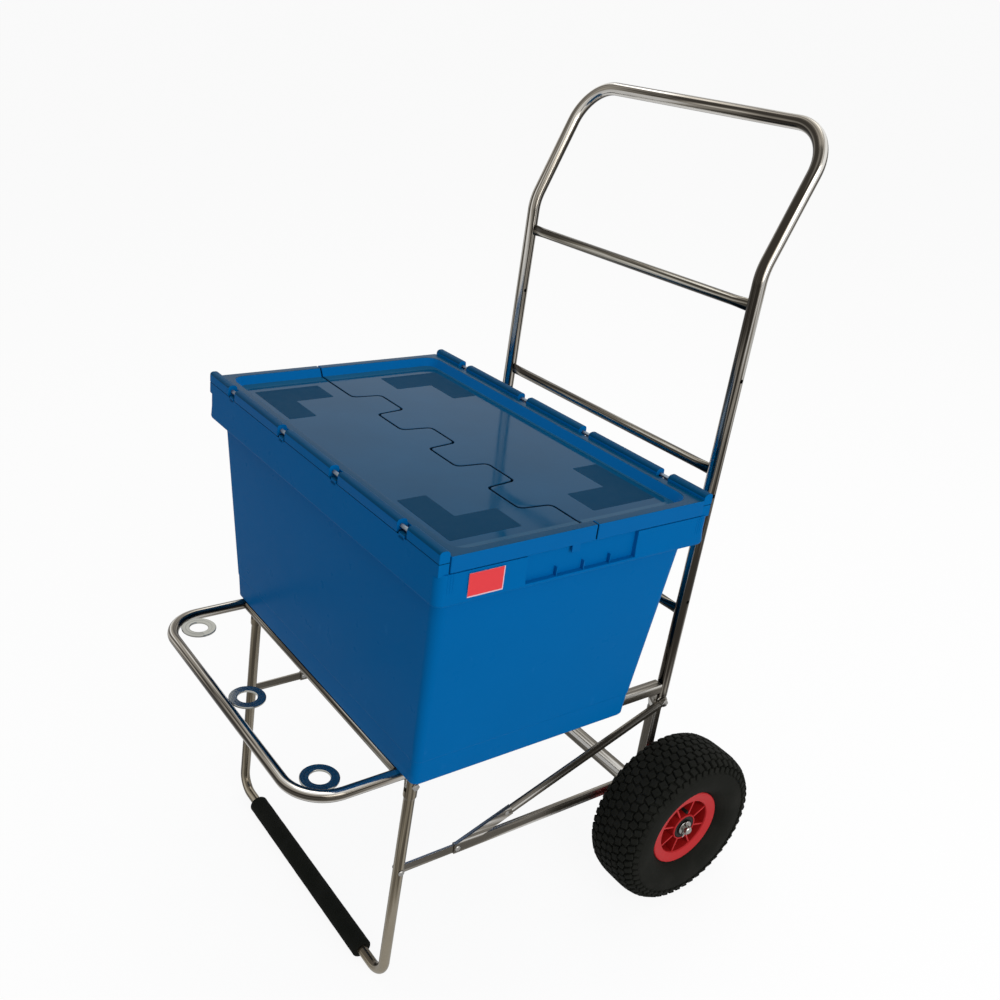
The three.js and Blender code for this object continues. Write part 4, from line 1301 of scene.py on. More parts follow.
@dataclass
class Platform:
    """The front loop, the side rails, the cross bars and the rod rings."""

    half_width: float = 227
    loop_radius: float = 8
    loop_front_y: float = -299
    bend_radius: float = 55
    rail_front_y: float = -156
    rail_edge: float = 1.6
    bar_radius: float = 6
    bars: tuple[tuple[str, float, float], ...] = (("front", -166, 8), ("middle", 20, 7.5), ("rear", 190, 7.5))
    ring_radius: float = 25
    ring_hole: float = 13.5
    ring_thickness: float = 3
    ring_bend_share: float = 0.4
    ring_edges: Pair = (0.5, 0.6)

    def ring_places(self) -> list[tuple[str, float, float]]:
        """Where the rings stand against the loop.

        Returns:
            Each ring's name, X and Y.
        """
        to_tube = self.loop_radius + WELD_GAP + self.ring_radius
        from_bend = self.bend_radius - to_tube
        turn = self.ring_bend_share * QUARTER_TURN
        x = self.half_width - self.bend_radius + from_bend * math.cos(turn)
        y = self.loop_front_y + self.bend_radius - from_bend * math.sin(turn)
        return [("left", -x, y), ("middle", 0, self.loop_front_y + to_tube), ("right", x, y)]

    def build(self, shop: Workshop) -> None:
        """Makes the platform's pieces.

        Args:
            shop: The workshop that takes them.
        """
        back, front, wide = self.rail_front_y - WELD_GAP, self.loop_front_y, self.half_width
        corners = [Vector((x, y, 0)) for x, y in ((-wide, back), (-wide, front), (wide, front), (wide, back))]
        loop = tube(filled_path(bent_path(corners, [self.bend_radius] * 2)), self.loop_radius)
        shop.steel("loop", loop, Finishes.tube, "loop_tube")
        for name, y, clear in self.bars:
            reach = wide - clear - WELD_GAP
            bar = tube(filled_path([Vector((x, y, 0)) for x in (-reach, reach)]), self.bar_radius, 28)
            # The cross bars take the rung's darker finish: painted reflection, and painted shade under the
            # crate's front edge.
            shop.steel(f"cross_{name}", bar, Finishes.rung, f"cross_bar_{name}")
        for side in Side:
            shop.bar_copy(f"side_rail_{side.word}", self.rail_edge, ALONG_Y)
        top, (inner, outer) = self.ring_thickness / 2, self.ring_edges
        half = [(self.ring_hole, top - inner), (self.ring_hole + inner, top)]
        profile = mirrored([*half, (self.ring_radius - outer, top), (self.ring_radius, top - outer)])
        upright = Matrix.Rotation(QUARTER_TURN, 4, "Y")
        for name, x, y in self.ring_places():
            ring = moved(turned(profile, 72), Matrix.Translation((x, y, 0)) @ upright)
            shop.steel(f"ring_{name}", ring, Finishes.ring, f"rod_ring_{name}")


@dataclass
class FrontLeg:
    """The front leg with its forked ends, its tabs and bolts, and the foam foot."""

    half_width: float = 227
    radius: float = 7.5
    pivot_y: float = -146
    pivot_drop: float = 21
    foot_y: float = -161
    foot_z: float = -352
    bend_radius: float = 28
    fork_radius: float = 9
    fork_length: float = 34
    fork_inset: float = 11
    fork_blend: float = 4
    station_step: float = 1.5
    slot_half: float = 2.3
    slot_depth: float = 20
    tab_reach: float = 10.3
    foam_radius: float = 14.4
    foam_half: float = 172
    foam_play: float = 0.35
    foam_round: float = 2.4
    foam_wave: float = 0.12
    floor_gap: float = 0.0004

    def leg_mesh(self) -> Mesh:
        """The bent leg, wider at its forks, each with a slot for its tab.

        Returns:
            The mesh.
        """
        along = Vector((0, self.foot_y - self.pivot_y, self.foot_z + self.pivot_drop)).normalized()
        pivots = [Vector((side.value * self.half_width, self.pivot_y, -self.pivot_drop)) for side in Side]
        tops = [pivot - along * self.fork_inset for pivot in pivots]
        feet = [Vector((side.value * self.half_width, self.foot_y, self.foot_z)) for side in Side]
        path = filled_path(bent_path([tops[0], *feet, tops[1]], [self.bend_radius] * 2), 40)
        total = distances(path)[-1]

        def reach(length: float) -> float:
            """The leg's radius at a length along it.

            Args:
                length: The length.

            Returns:
                The radius.
            """
            from_end = min(length, total - length)
            share = min(1.0, max(0.0, (from_end - self.fork_length + self.fork_blend) / self.fork_blend))
            return self.fork_radius + (self.radius - self.fork_radius) * share

        def closely(start: Vector, end: Vector) -> list[Vector]:
            """Close stations on an end stretch, for the blend into the fork.

            Args:
                start: The leg's end.
                end: The stretch's other end.

            Returns:
                The stations, from the leg's end.
            """
            marks = [i * self.station_step for i in range(1, 27)]
            way = end - start
            return [start + way.normalized() * mark for mark in marks if mark < way.length]

        near, far = closely(path[0], path[1]), closely(path[-1], path[-2])
        mesh = tube([path[0], *near, *path[1:-1], *reversed(far), path[-1]], reach)
        for x, y, z in pivots:
            low = (x - self.slot_half, y - self.slot_depth, z - self.tab_reach)
            mesh = cut_away(mesh, block(low, (x + self.slot_half, y + self.slot_depth, 20)))
        return mesh

    def foam_mesh(self, place: Matrix) -> Mesh:
        """The foam sleeve, a little uneven along its length, with soft ends, pressed flat on the floor.

        Args:
            place: The platform's placement.

        Returns:
            The mesh, in metres.
        """
        half, soft, wave = self.foam_half, self.foam_round, self.foam_wave
        edge = self.foam_radius - soft
        end: list[Pair] = [(self.radius + self.foam_play, -half), (edge - 0.2, -half)]
        for angle in (QUARTER_TURN * i / 6 for i in range(7)):
            end.append((edge + soft * math.sin(angle), -half + soft - soft * math.cos(angle)))
        body: list[Pair] = []
        for i in range(1, 40):
            uneven = wave * math.sin(i * 1.7) * math.sin(i * 0.61)
            body.append((self.foam_radius - wave - uneven, -half + soft + 2 * (half - soft) * i / 40))
        profile = [*end, *body, *[(r, -x) for r, x in reversed(end)]]
        mesh = moved(turned(profile, 64, (0, self.foot_y, self.foot_z)), place)
        for vertex in mesh.vertices:
            vertex.co.z = max(vertex.co.z, self.floor_gap)
        return mesh

    def build(self, shop: Workshop) -> None:
        """Makes the leg's pieces.

        Args:
            shop: The workshop that takes them.
        """
        shop.steel("leg", self.leg_mesh(), Finishes.leg, "leg_tube")
        for side in Side:
            shop.bar_copy(f"leg_tab_{side.word}", 0.8, ALONG_Z)
            shop.bolt_copy(f"leg_bolt_{side.word}", 0.5, 2)
        foam = self.foam_mesh(shop.placement.platform)
        shop.piece("foam", foam, Finishes.foam, "frame", "foot_foam", ["foot_foam"])


@dataclass
class Stays:
    """The link bars, lower rails, diagonals and their rivets, on both sides."""

    joint: Pair = (-60, -162)
    link: Pair = (-152.4, -161.5)
    rail_end: Pair = (271, -163)
    knuckle: Pair = (284, -26.3)
    half_width: float = 227
    socket_length: float = 92
    pin_inset: float = 8
    head_radius: float = 4.5
    head_height: float = 2
    head_sink: float = 0.2
    shank_radius: float = 2.5
    leg_grip: float = 7.8
    socket_grip: float = 3.1

    def rivet_item(self, grip: float) -> Mesh:
        """A rivet along X with a domed head at each end, about the origin.

        Args:
            grip: Half the thickness that it holds.

        Returns:
            The mesh.
        """
        profile: list[Pair] = []
        for angle in (QUARTER_TURN * i / 8 for i in range(9)):
            radius = max(0.01, self.head_radius * math.sin(angle))
            profile.append((radius, grip + self.head_height * math.cos(angle)))
        under = grip - self.head_sink
        return turned(mirrored([*profile, (self.head_radius, under), (self.shank_radius, under)]), 28)

    def build(self, shop: Workshop) -> None:
        """Makes the stays' pieces.

        Args:
            shop: The workshop that takes them.
        """
        joint, link, rail_end, knuckle = (
            Vector((0, *place)) for place in (self.joint, self.link, self.rail_end, self.knuckle)
        )
        for side in Side:
            shop.bar_copy(f"link_bar_{side.word}", 0.7, joint - link)
            shop.bar_copy(f"lower_rail_{side.word}", 0.6, rail_end - joint)
            shop.bar_copy(f"diagonal_{side.word}", 0.7, knuckle - joint)
        pin = joint + (knuckle - joint).normalized() * (self.socket_length - self.pin_inset)
        rows = (
            ("link", link, self.leg_grip),
            ("joint", joint, self.socket_grip),
            ("socket", pin, self.socket_grip),
        )
        for name, spot, grip in rows:
            places = {"First": (-self.half_width, spot.y, spot.z), "Step": (2 * self.half_width, 0, 0)}
            row = shop.row_tree.run(self.rivet_item(grip), Finishes.zinc.material(), Count=2, **places)
            shop.fastener(f"{name}_rivets", row, *[f"{name}_rivet_{side.word}" for side in Side])


@dataclass
class RearCorners:
    """The rear posts and the knuckles that carry them."""

    post_edge: float = 1.6
    knuckle_edge: float = 0.8
    bolt_edge: float = 0.7

    def build(self, shop: Workshop) -> None:
        """Makes the rear corners' pieces.

        Args:
            shop: The workshop that takes them.
        """
        for side in Side:
            shop.bar_copy(f"rear_post_{side.word}", self.post_edge, ALONG_Z)
            shop.bar_copy(f"knuckle_{side.word}", self.knuckle_edge, ALONG_X, 2, smooth=40)
            shop.bolt_copy(f"knuckle_bolt_{side.word}", self.bolt_edge, 3)


@dataclass
class Axle:
    """The axle beam, the rod through it, the washers and the split pins."""

    place_y: float = 279
    place_z: float = -186.5
    wheel_x: float = 297
    beam_edge: float = 1.8
    rod_radius: float = 5.98
    rod_end: float = 337
    washer_radius: float = 11.4
    washer_bore: float = 6.35
    washers: tuple[tuple[str, float, float], ...] = (("inner", 265.2, 266.7), ("outer", 327.3, 328.8))
    pin_x: float = 330.3
    pin_radius: float = 1.15
    pin_legs: tuple[Pair, ...] = ((4.4, -13.4), (1.7, -8.6), (0.7, 0), (0.7, 6.4))
    pin_eye: tuple[tuple[float, float, float], ...] = ((0.2, 2.3, 9.3), (0, 1.6, 11.6))
    pin_top: float = 12.4

    def build(self, shop: Workshop) -> None:
        """Makes the axle's pieces.

        Args:
            shop: The workshop that takes them.
        """
        centre = (0, self.place_y, self.place_z)
        shop.bar_copy("axle_beam", self.beam_edge, ALONG_X)
        radius, end = self.rod_radius, self.rod_end
        rod = mirrored([(0.01, end - 0.3), (radius - 1.2, end), (radius, end - 1.2)])
        shop.fastener("axle_end", turned(rod, 40, centre), "axle_rod")
        bore, radius = self.washer_bore, self.washer_radius
        for name, start, end in self.washers:
            profile = [(bore, start + 0.2), (bore, end - 0.2), (bore + 0.2, end), (radius - 0.3, end)]
            profile += [(radius, end - 0.4), (radius, start + 0.2)]
            profile += [(radius - 0.3, start), (bore + 0.2, start)]
            for side in Side:
                ring = turned([(r, side.value * x) for r, x in profile], 48, centre)
                shop.fastener(f"washer_{name}_{side.word}_plate", ring, f"washer_{name}_{side.word}")
        for side in Side:
            shop.fastener(f"split_pin_{side.word}_wire", self.pin_mesh(side), f"split_pin_{side.word}")

    def pin_mesh(self, side: Side) -> Mesh:
        """A bent wire: an eye above the rod and two legs splayed below it.

        Args:
            side: The end of the axle.

        Returns:
            The mesh.
        """
        half = [*[(0.4, y, z) for y, z in self.pin_legs], *self.pin_eye]
        near, far = [(-x, y, z) for x, y, z in half], [(x, -y, z) for x, y, z in reversed(half)]
        wire = [*near, (0, 0, self.pin_top), *far]
        centre = Vector((side.value * self.pin_x, self.place_y, self.place_z))
        return tube(curve_through([centre + Vector(point) for point in wire], 5), self.pin_radius, 12)


@dataclass
class Wheel:
    """A pneumatic wheel: tyre with a block tread, red rim with ribs, hub sleeve and valve."""

    side: Side
    blocks: int = 54
    block_levels: tuple[Pair, ...] = ((-1.6, 1.12), (2.9, 1.0))
    block_lengths: Pair = (10.6, 8.4)
    twist: float = 17
    rows: tuple[tuple[float, float, float, float, float], ...] = (
        (5.6, 121.2, 1.0, 9.6, 0.0),
        (16.8, 120.9, 4.0, 9.6, 0.5),
        (27.8, 119.0, 14.0, 9.6, 0.0),
        (36.8, 114.6, 36.0, 9.4, 0.5),
        (41.2, 106.2, 68.0, 8.4, 0.0),
    )
    row_shift: float = 0.25
    steep: float = 30
    carcass: tuple[Pair, ...] = (
        ((121.2, 0), (120.6, 14), (118, 27), (113.2, 35.8), (106, 41.4), (97, 44.2))
        + ((86, 44.6), (76, 42.8), (68, 38.4), (63.2, 33.6), (61, 30))
    )
    ridges: tuple[Pair, ...] = ((99, 1.1), (71, 1.0))
    ridge_height: float = 0.5
    inside: tuple[Pair, ...] = ((59.5, 27.6), (51.4, 27.6), (51.4, 21), (87, 36.5), (110, 34), (112.5, 0))
    barrel: tuple[Pair, ...] = ((46.8, 12), (50.6, 26), (50.8, 28.1))
    flange: tuple[Pair, ...] = ((59.6, 28.1), (60.4, 28.9), (60.2, 31), (59, 31.9), (57.2, 31.9), (47, 30.2))
    web: tuple[Pair, ...] = ((45, 29.4), (44, 27.6), (42.6, 6), (41, 4.2), (24, 4.2), (22.2, 5.6))
    hub: tuple[Pair, ...] = ((21, 28.4), (20, 29.9), (19.2, 29.9), (18.6, 29.2))
    pocket: Pair = (44.2, 26.5)
    rib_count: int = 8
    rib_half: Pair = (27.5, 1.4)
    rib_span: Pair = (20, 44)
    sleeve: tuple[Pair, ...] = (
        ((18.3, 28.6), (17.6, 29.4), (13.6, 29.4), (12.9, 28.2)) + ((12.4, 28.2), (12, 29.9), (6.35, 29.9))
    )
    valve_height: float = 30
    stem: tuple[Pair, ...] = (
        ((0.01, 4.6), (3, 4.6), (3, 17), (2.4, 18), (2.4, 25.4))
        + ((2.8, 25.8), (2.8, 31), (1.6, 32.2), (0.01, 32.3))
    )

    def tyre_mesh(self, shop: Workshop) -> Mesh:
        """The tyre's carcass with two moulded ridges, and rows of blocks repeated round it.

        Args:
            shop: The workshop, for its tree that repeats.

        Returns:
            The mesh.
        """
        half: list[Pair] = []
        for point in curve_through([Vector((r, x, 0)) for r, x in self.carcass], 4):
            on_ridge = any(abs(point.x - radius) < width for radius, width in self.ridges)
            half.append((point.x, point.y + (self.ridge_height if on_ridge else 0.0)))
        half += self.inside
        parts = [turned([*half, *[(r, -x) for r, x in reversed(half[1:-1])]], 128)]
        material = Finishes.tyre.material()
        for sign in (-1, 1):
            for place, radius, tilt, width, shift in self.rows:
                item = softened(self.tread_block(width, self.block_lengths[tilt >= self.steep]), 0.8, 1)
                twist = Matrix.Rotation(math.radians(self.twist if shift else -self.twist), 4, "Z")
                lean = Matrix.Rotation(sign * math.radians(tilt), 4, "Y") @ twist
                item.transform(Matrix.Translation((sign * place, 0, radius)) @ lean)
                offset = FULL_TURN / self.blocks * (shift if sign > 0 else shift + self.row_shift)
                parts.append(shop.round_tree.run(item, material, Count=self.blocks, Turn=offset))
        return merged(parts)

    def tread_block(self, width: float, length: float) -> Mesh:
        """One tread block, wider at its foot, about its seat on the carcass.

        Args:
            width: Its size across the tread.
            length: Its size along the tread.

        Returns:
            The block's mesh.
        """
        signs = ((-0.5, -0.5), (0.5, -0.5), (0.5, 0.5), (-0.5, 0.5))
        outlines = []
        for z, flare in self.block_levels:
            outlines.append((z, [(width * flare * x, length * flare * y) for x, y in signs]))
        return stacked(outlines)

    def rim_mesh(self, shop: Workshop) -> Mesh:
        """The rim: barrel, flanges, web and hub, with ribs repeated round it.

        Args:
            shop: The workshop, for its tree that repeats.

        Returns:
            The mesh, with number 1 on the faces in its pocket, which take a darker red as painted shade.
        """
        body = turned(mirrored([*self.barrel, *self.flange, *self.web, *self.hub]), 96)
        (x, y), (low, high), (reach, depth) = self.rib_half, self.rib_span, self.pocket
        rib = softened(block((-x, -y, low), (x, y, high)), 0.6, 2)
        places = {"Count": self.rib_count, "Turn": math.pi / self.rib_count}
        mesh = merged([body, shop.round_tree.run(rib, Finishes.rim.material(), **places)])

        def index_of(polygon: bpy.types.MeshPolygon) -> int:
            """1 in the pocket, for the darker red of painted shade."""
            middle = polygon.center
            return int(math.hypot(middle.y, middle.z) < reach and abs(middle.x) < depth)

        return painted(mesh, index_of)

    def build(self, shop: Workshop) -> None:
        """Makes the wheel's pieces.

        Args:
            shop: The workshop that takes them.
        """
        word = self.side.word
        stem = [(r, self.side.value * x) for r, x in self.stem]
        rim = [Finishes.rim, Finishes.rim_pocket]
        hub, valve = turned(mirrored(self.sleeve), 64), turned(stem, 24, (0, 0, self.valve_height))
        for name, mesh, finish, slot, node, smooth in (
            (f"tyre_{word}_tread", self.tyre_mesh(shop), Finishes.tyre, "tyre_rubber", "tyre", 38),
            (f"rim_{word}_moulding", self.rim_mesh(shop), rim, "rim_plastic", "rim", 32),
            (f"hub_{word}", hub, Finishes.hub, "hub_plastic", "hub_sleeve", 32),
            (f"valve_{word}_stem", valve, Finishes.valve, "valve_rubber", "valve", 32),
        ):
            placed = moved(mesh, shop.placement.wheel(self.side))
            shop.piece(name, placed, finish, f"wheel_{word}", slot, [f"{node}_{word}"], smooth)


@dataclass
class Crate:
    """The crate's tub with its hinge posts and grips, the hinge rods and the blank label."""

    offset_x: float = 10
    bottom_z: float = 7.8
    base: Pair = (254, 171)
    shoulder: Pair = (283, 185)
    rim: Pair = (300, 200)
    base_radius: float = 9
    body_radius: float = 14
    band_radius: float = 11
    line_height: float = 38
    shoulder_height: float = 270
    band_height: float = 282
    rim_height: float = 319
    height: float = 340
    wall: float = 3
    floor: float = 4
    ledge: float = 20
    ledge_thickness: float = 4
    upstand: float = 10.4
    grip_half: float = 82
    grip_depth: float = 5.6
    grip_drop: float = 34
    hinge_y: float = 194
    hinge_z: float = 346.8
    bar_out: float = 5.9
    bar_in: float = -7.6
    bar_top: float = 8.3
    foot_top: float = -6.5
    head_low: float = -5.9
    saddle_top: float = -4.2
    rod_radius: float = 2.5
    rod_end: float = 293
    stretches: tuple[Pair, ...] = ((-298.5, -234), (-60, 60), (234, 298.5))
    saddles: tuple[Pair, ...] = ((-230, -218), (-76, -64), (64, 76), (218, 230))
    label: tuple[float, float, float, float] = (-161, -113.5, 294, 323.5)

    @property
    def rim_z(self) -> float:
        """The rim's height above the platform's centre lines."""
        return self.bottom_z + self.rim_height

    def side_at(self, height: float) -> Pair:
        """The tub's outer half length and half width at a height of its tapered wall."""
        share = (height - self.floor) / (self.shoulder_height - self.floor)
        return tuple(low + (high - low) * share for low, high in zip(self.base, self.shoulder))

    def loft(self, levels: Sequence[tuple[float, float, float, float]]) -> Mesh:
        """A closed body through rounded rectangles.

        Args:
            levels: Each rectangle's height, half length, half width and corner radius.

        Returns:
            The mesh.
        """
        steps = 8
        outlines = []
        for z, half_x, half_y, radius in levels:
            outline = []
            for sign_x, sign_y, quarter in ((1, 1, 0), (-1, 1, 1), (-1, -1, 2), (1, -1, 3)):
                for angle in (QUARTER_TURN * (quarter + step / steps) for step in range(steps + 1)):
                    x = sign_x * (half_x - radius) + radius * math.cos(angle)
                    outline.append((x, sign_y * (half_y - radius) + radius * math.sin(angle)))
            outlines.append((self.bottom_z + z, outline))
        return stacked(outlines)

    def tub_mesh(self, shop: Workshop) -> Mesh:
        """The tub: tapered walls, a stepped-out band, an inner ledge and recessed grips.

        Args:
            shop: The workshop, for its tree that repeats.

        Returns:
            The mesh, with number 1 on the faces that look up above the rim, which take a darker blue as
            painted shade.
        """
        line, shoulder, band_z = self.line_height, self.shoulder_height, self.band_height
        (foot_x, foot_y), (top_x, top_y) = self.side_at(line), self.side_at(shoulder - 2)
        (base_x, base_y), (rim_x, rim_y), (wide_x, wide_y) = self.base, self.rim, self.shoulder
        low, high, band, inset = self.base_radius, self.body_radius, self.band_radius, self.wall
        ledge_z = self.rim_height - self.ledge_thickness
        mouth = (rim_x - self.ledge, rim_y - self.ledge, band - 2)
        outer = self.loft(
            [
                (0, base_x - 3, base_y - 3, low),
                (0.8, base_x - 1.6, base_y - 1.6, low),
                (3.4, base_x, base_y, low),
                (line - 0.6, foot_x - 0.5, foot_y - 0.5, low + 1),
                (line + 0.2, foot_x + 0.1, foot_y + 0.1, low + 1),
                (shoulder - 2, top_x, top_y, high),
                (shoulder, top_x + 1.4, top_y + 1.2, high),
                (band_z - 3, rim_x - 3.4, rim_y - 3.4, band),
                (band_z - 1.4, rim_x + 0.4, rim_y - 0.2, band),
                (band_z + 1.2, rim_x + 1.4, rim_y + 0.5, band),
                (band_z + 16, rim_x, rim_y, band),
                (self.rim_height, rim_x, rim_y, band),
            ]
        )
        hollow = self.loft(
            [
                (self.floor, base_x - inset, base_y - inset, low - 2),
                (shoulder + 1.5, wide_x - inset, wide_y - inset, high - 2),
                (band_z + 1.5, rim_x - inset, rim_y - inset, band - 2),
                (ledge_z, rim_x - inset, rim_y - inset, band - 2),
                (ledge_z + 0.01, *mouth),
                (self.rim_height + 2, *mouth),
            ]
        )
        for side in Side:
            outer = cut_away(outer, self.grip_block(side, 0))
            hollow = cut_away(hollow, self.grip_block(side, self.wall))
        parts = [softened(cut_away(outer, hollow), 0.9, 2, 30)]
        for half in Half:
            parts += self.hinge_side(half)
        for side in Side:
            parts += [self.grip_ribs(shop, side), *self.corner_ribs(shop, side)]

        def index_of(polygon: bpy.types.MeshPolygon) -> int:
            """1 where a face looks up above the rim, for the darker blue of painted shade."""
            return int(polygon.center.z > self.rim_z + 2 and polygon.normal.z > 0.3)

        return painted(merged(parts), index_of)

    def on_end(self, side: Side, inset: float, outset: float) -> list[float]:
        """The span along X from an inset to an outset at one end's face, in order."""
        return sorted((side.value * (self.rim[0] - inset), side.value * (self.rim[0] + outset)))

    def grip_block(self, side: Side, growth: float) -> Mesh:
        """What a hand grip takes out of an end, grown by the wall for the inside."""
        (inner, outer), half = self.on_end(side, self.grip_depth + growth, 2), self.grip_half + growth
        return block((inner, -half, self.rim_z - self.grip_drop - growth), (outer, half, self.rim_z + 4))

    def hinge_side(self, half: Half) -> list[Mesh]:
        """The low wall on a long side, the saddles under the rod, and the hinge posts.

        Args:
            half: The long side.

        Returns:
            The meshes; each post is a foot under a round-topped bar.
        """
        sign, rim = half.value, self.rim_z - self.hinge_z
        axis = (sign * self.hinge_y, self.hinge_z)
        face, base, brim = self.rim[1] - 0.05 - self.hinge_y, rim - 2, rim + self.upstand
        wall = [(face, base), (face, brim + 1.8), (face - 0.3, brim + 1.7)]
        wall += [(face - 2.95, brim), (face - 2.95, base)]
        parts = [bar_along_x(wall, -self.rim[0] + 5, self.rim[0] - 5, sign, axis)]
        saddle = [(face, brim - 2), (face, self.saddle_top), (0.6, self.saddle_top), (0.6, brim - 2)]
        for start, end in self.saddles:
            parts.append(softened(bar_along_x(saddle, start, end, sign, axis), 0.7, 2))
        out, back, top = self.bar_out, self.bar_in, self.bar_top
        foot = [(out, base), (out, self.foot_top), (back, self.foot_top), (back, base)]
        neck = [(out - 0.7, -8), (out - 0.7, -4), (back + 0.7, -4), (back + 0.7, -8)]
        corners = [(out, self.head_low), (out, top), (back, top), (back, self.head_low)]
        head = rounded_outline(corners, [0.4, 5, 6.5, 0.4])
        for start, end in self.stretches:
            parts.append(softened(bar_along_x(foot, start, end, sign, axis), 0.5, 2))
            parts.append(bar_along_x(neck, start + 0.7, end - 0.7, sign, axis))
            parts.append(softened(bar_along_x(head, start, end, sign, axis), 1.2, 3, 50))
        return parts

    def grip_ribs(self, shop: Workshop, side: Side) -> Mesh:
        """Three upright ribs in a hand grip, repeated in a row.

        Args:
            shop: The workshop, for its tree that repeats.
            side: The grip's end.

        Returns:
            The ribs' mesh.
        """
        (inner, outer), foot = self.on_end(side, self.grip_depth + 0.5, -0.5), self.rim_z - self.grip_drop
        rib = softened(block((inner, -0.7, foot - 0.5), (outer, 0.7, foot + 11)), 0.5, 2)
        places = {"Count": 3, "First": (0, -36.5, 0), "Step": (0, 40, 0)}
        return shop.row_tree.run(rib, Finishes.crate.material(), **places)

    def corner_ribs(self, shop: Workshop, side: Side) -> list[Mesh]:
        """Fine upright ridges at an end's two corners, repeated in rows.

        Args:
            shop: The workshop, for its tree that repeats.
            side: The end.

        Returns:
            The meshes.
        """
        inner, outer = self.on_end(side, 1, 0.35)
        rows = []
        for sign in (-1, 1):
            ridge = softened(block((inner, -0.6, self.rim_z - 36), (outer, 0.6, self.rim_z - 1)), 0.25, 1)
            places = {"Count": 3, "First": (0, sign * 187, 0), "Step": (0, -sign * 3.4, 0)}
            rows.append(shop.row_tree.run(ridge, Finishes.crate.material(), **places))
        return rows

    def label_mesh(self) -> Mesh:
        """The blank label on its paler backing.

        Returns:
            The mesh, with number 1 on the label's own face.
        """
        y0, y1, z0, z1 = self.label
        face = self.rim[0]
        backing = softened(block((face + 1.0, y0, z0), (face + 1.5, y1, z1)), 0.15, 1)
        front = softened(block((face + 1.2, y0, z0 + 1.7), (face + 1.8, y1 - 1.5, z1)), 0.15, 1)
        return painted(merged([backing, front]), lambda polygon: int(polygon.center.x > face + 1.51))

    def build(self, shop: Workshop) -> None:
        """Makes the crate's pieces.

        Args:
            shop: The workshop that takes them.
        """
        place, end = shop.placement.crate, self.rod_end
        finishes = [Finishes.crate, Finishes.crate_top_shade]
        tub = moved(self.tub_mesh(shop), place)
        shop.piece("tub", tub, finishes, "crate", "crate_plastic", ["crate_tub"], 40, True)
        profile = mirrored([(0.01, end), (self.rod_radius - 0.6, end), (self.rod_radius, end - 0.6)])
        for half in Half:
            rod = moved(turned(profile, 24, (0, half.value * self.hinge_y, self.hinge_z)), place)
            nodes = [f"hinge_rod_{half.word}"]
            shop.piece(f"rod_{half.word}", rod, Finishes.hinge_wire, "crate", "fastener_steel", nodes)
        finishes, label = [Finishes.label_edge, Finishes.label], moved(self.label_mesh(), place)
        shop.piece("label_sheet", label, finishes, "crate", "label_paper", ["crate_label"])


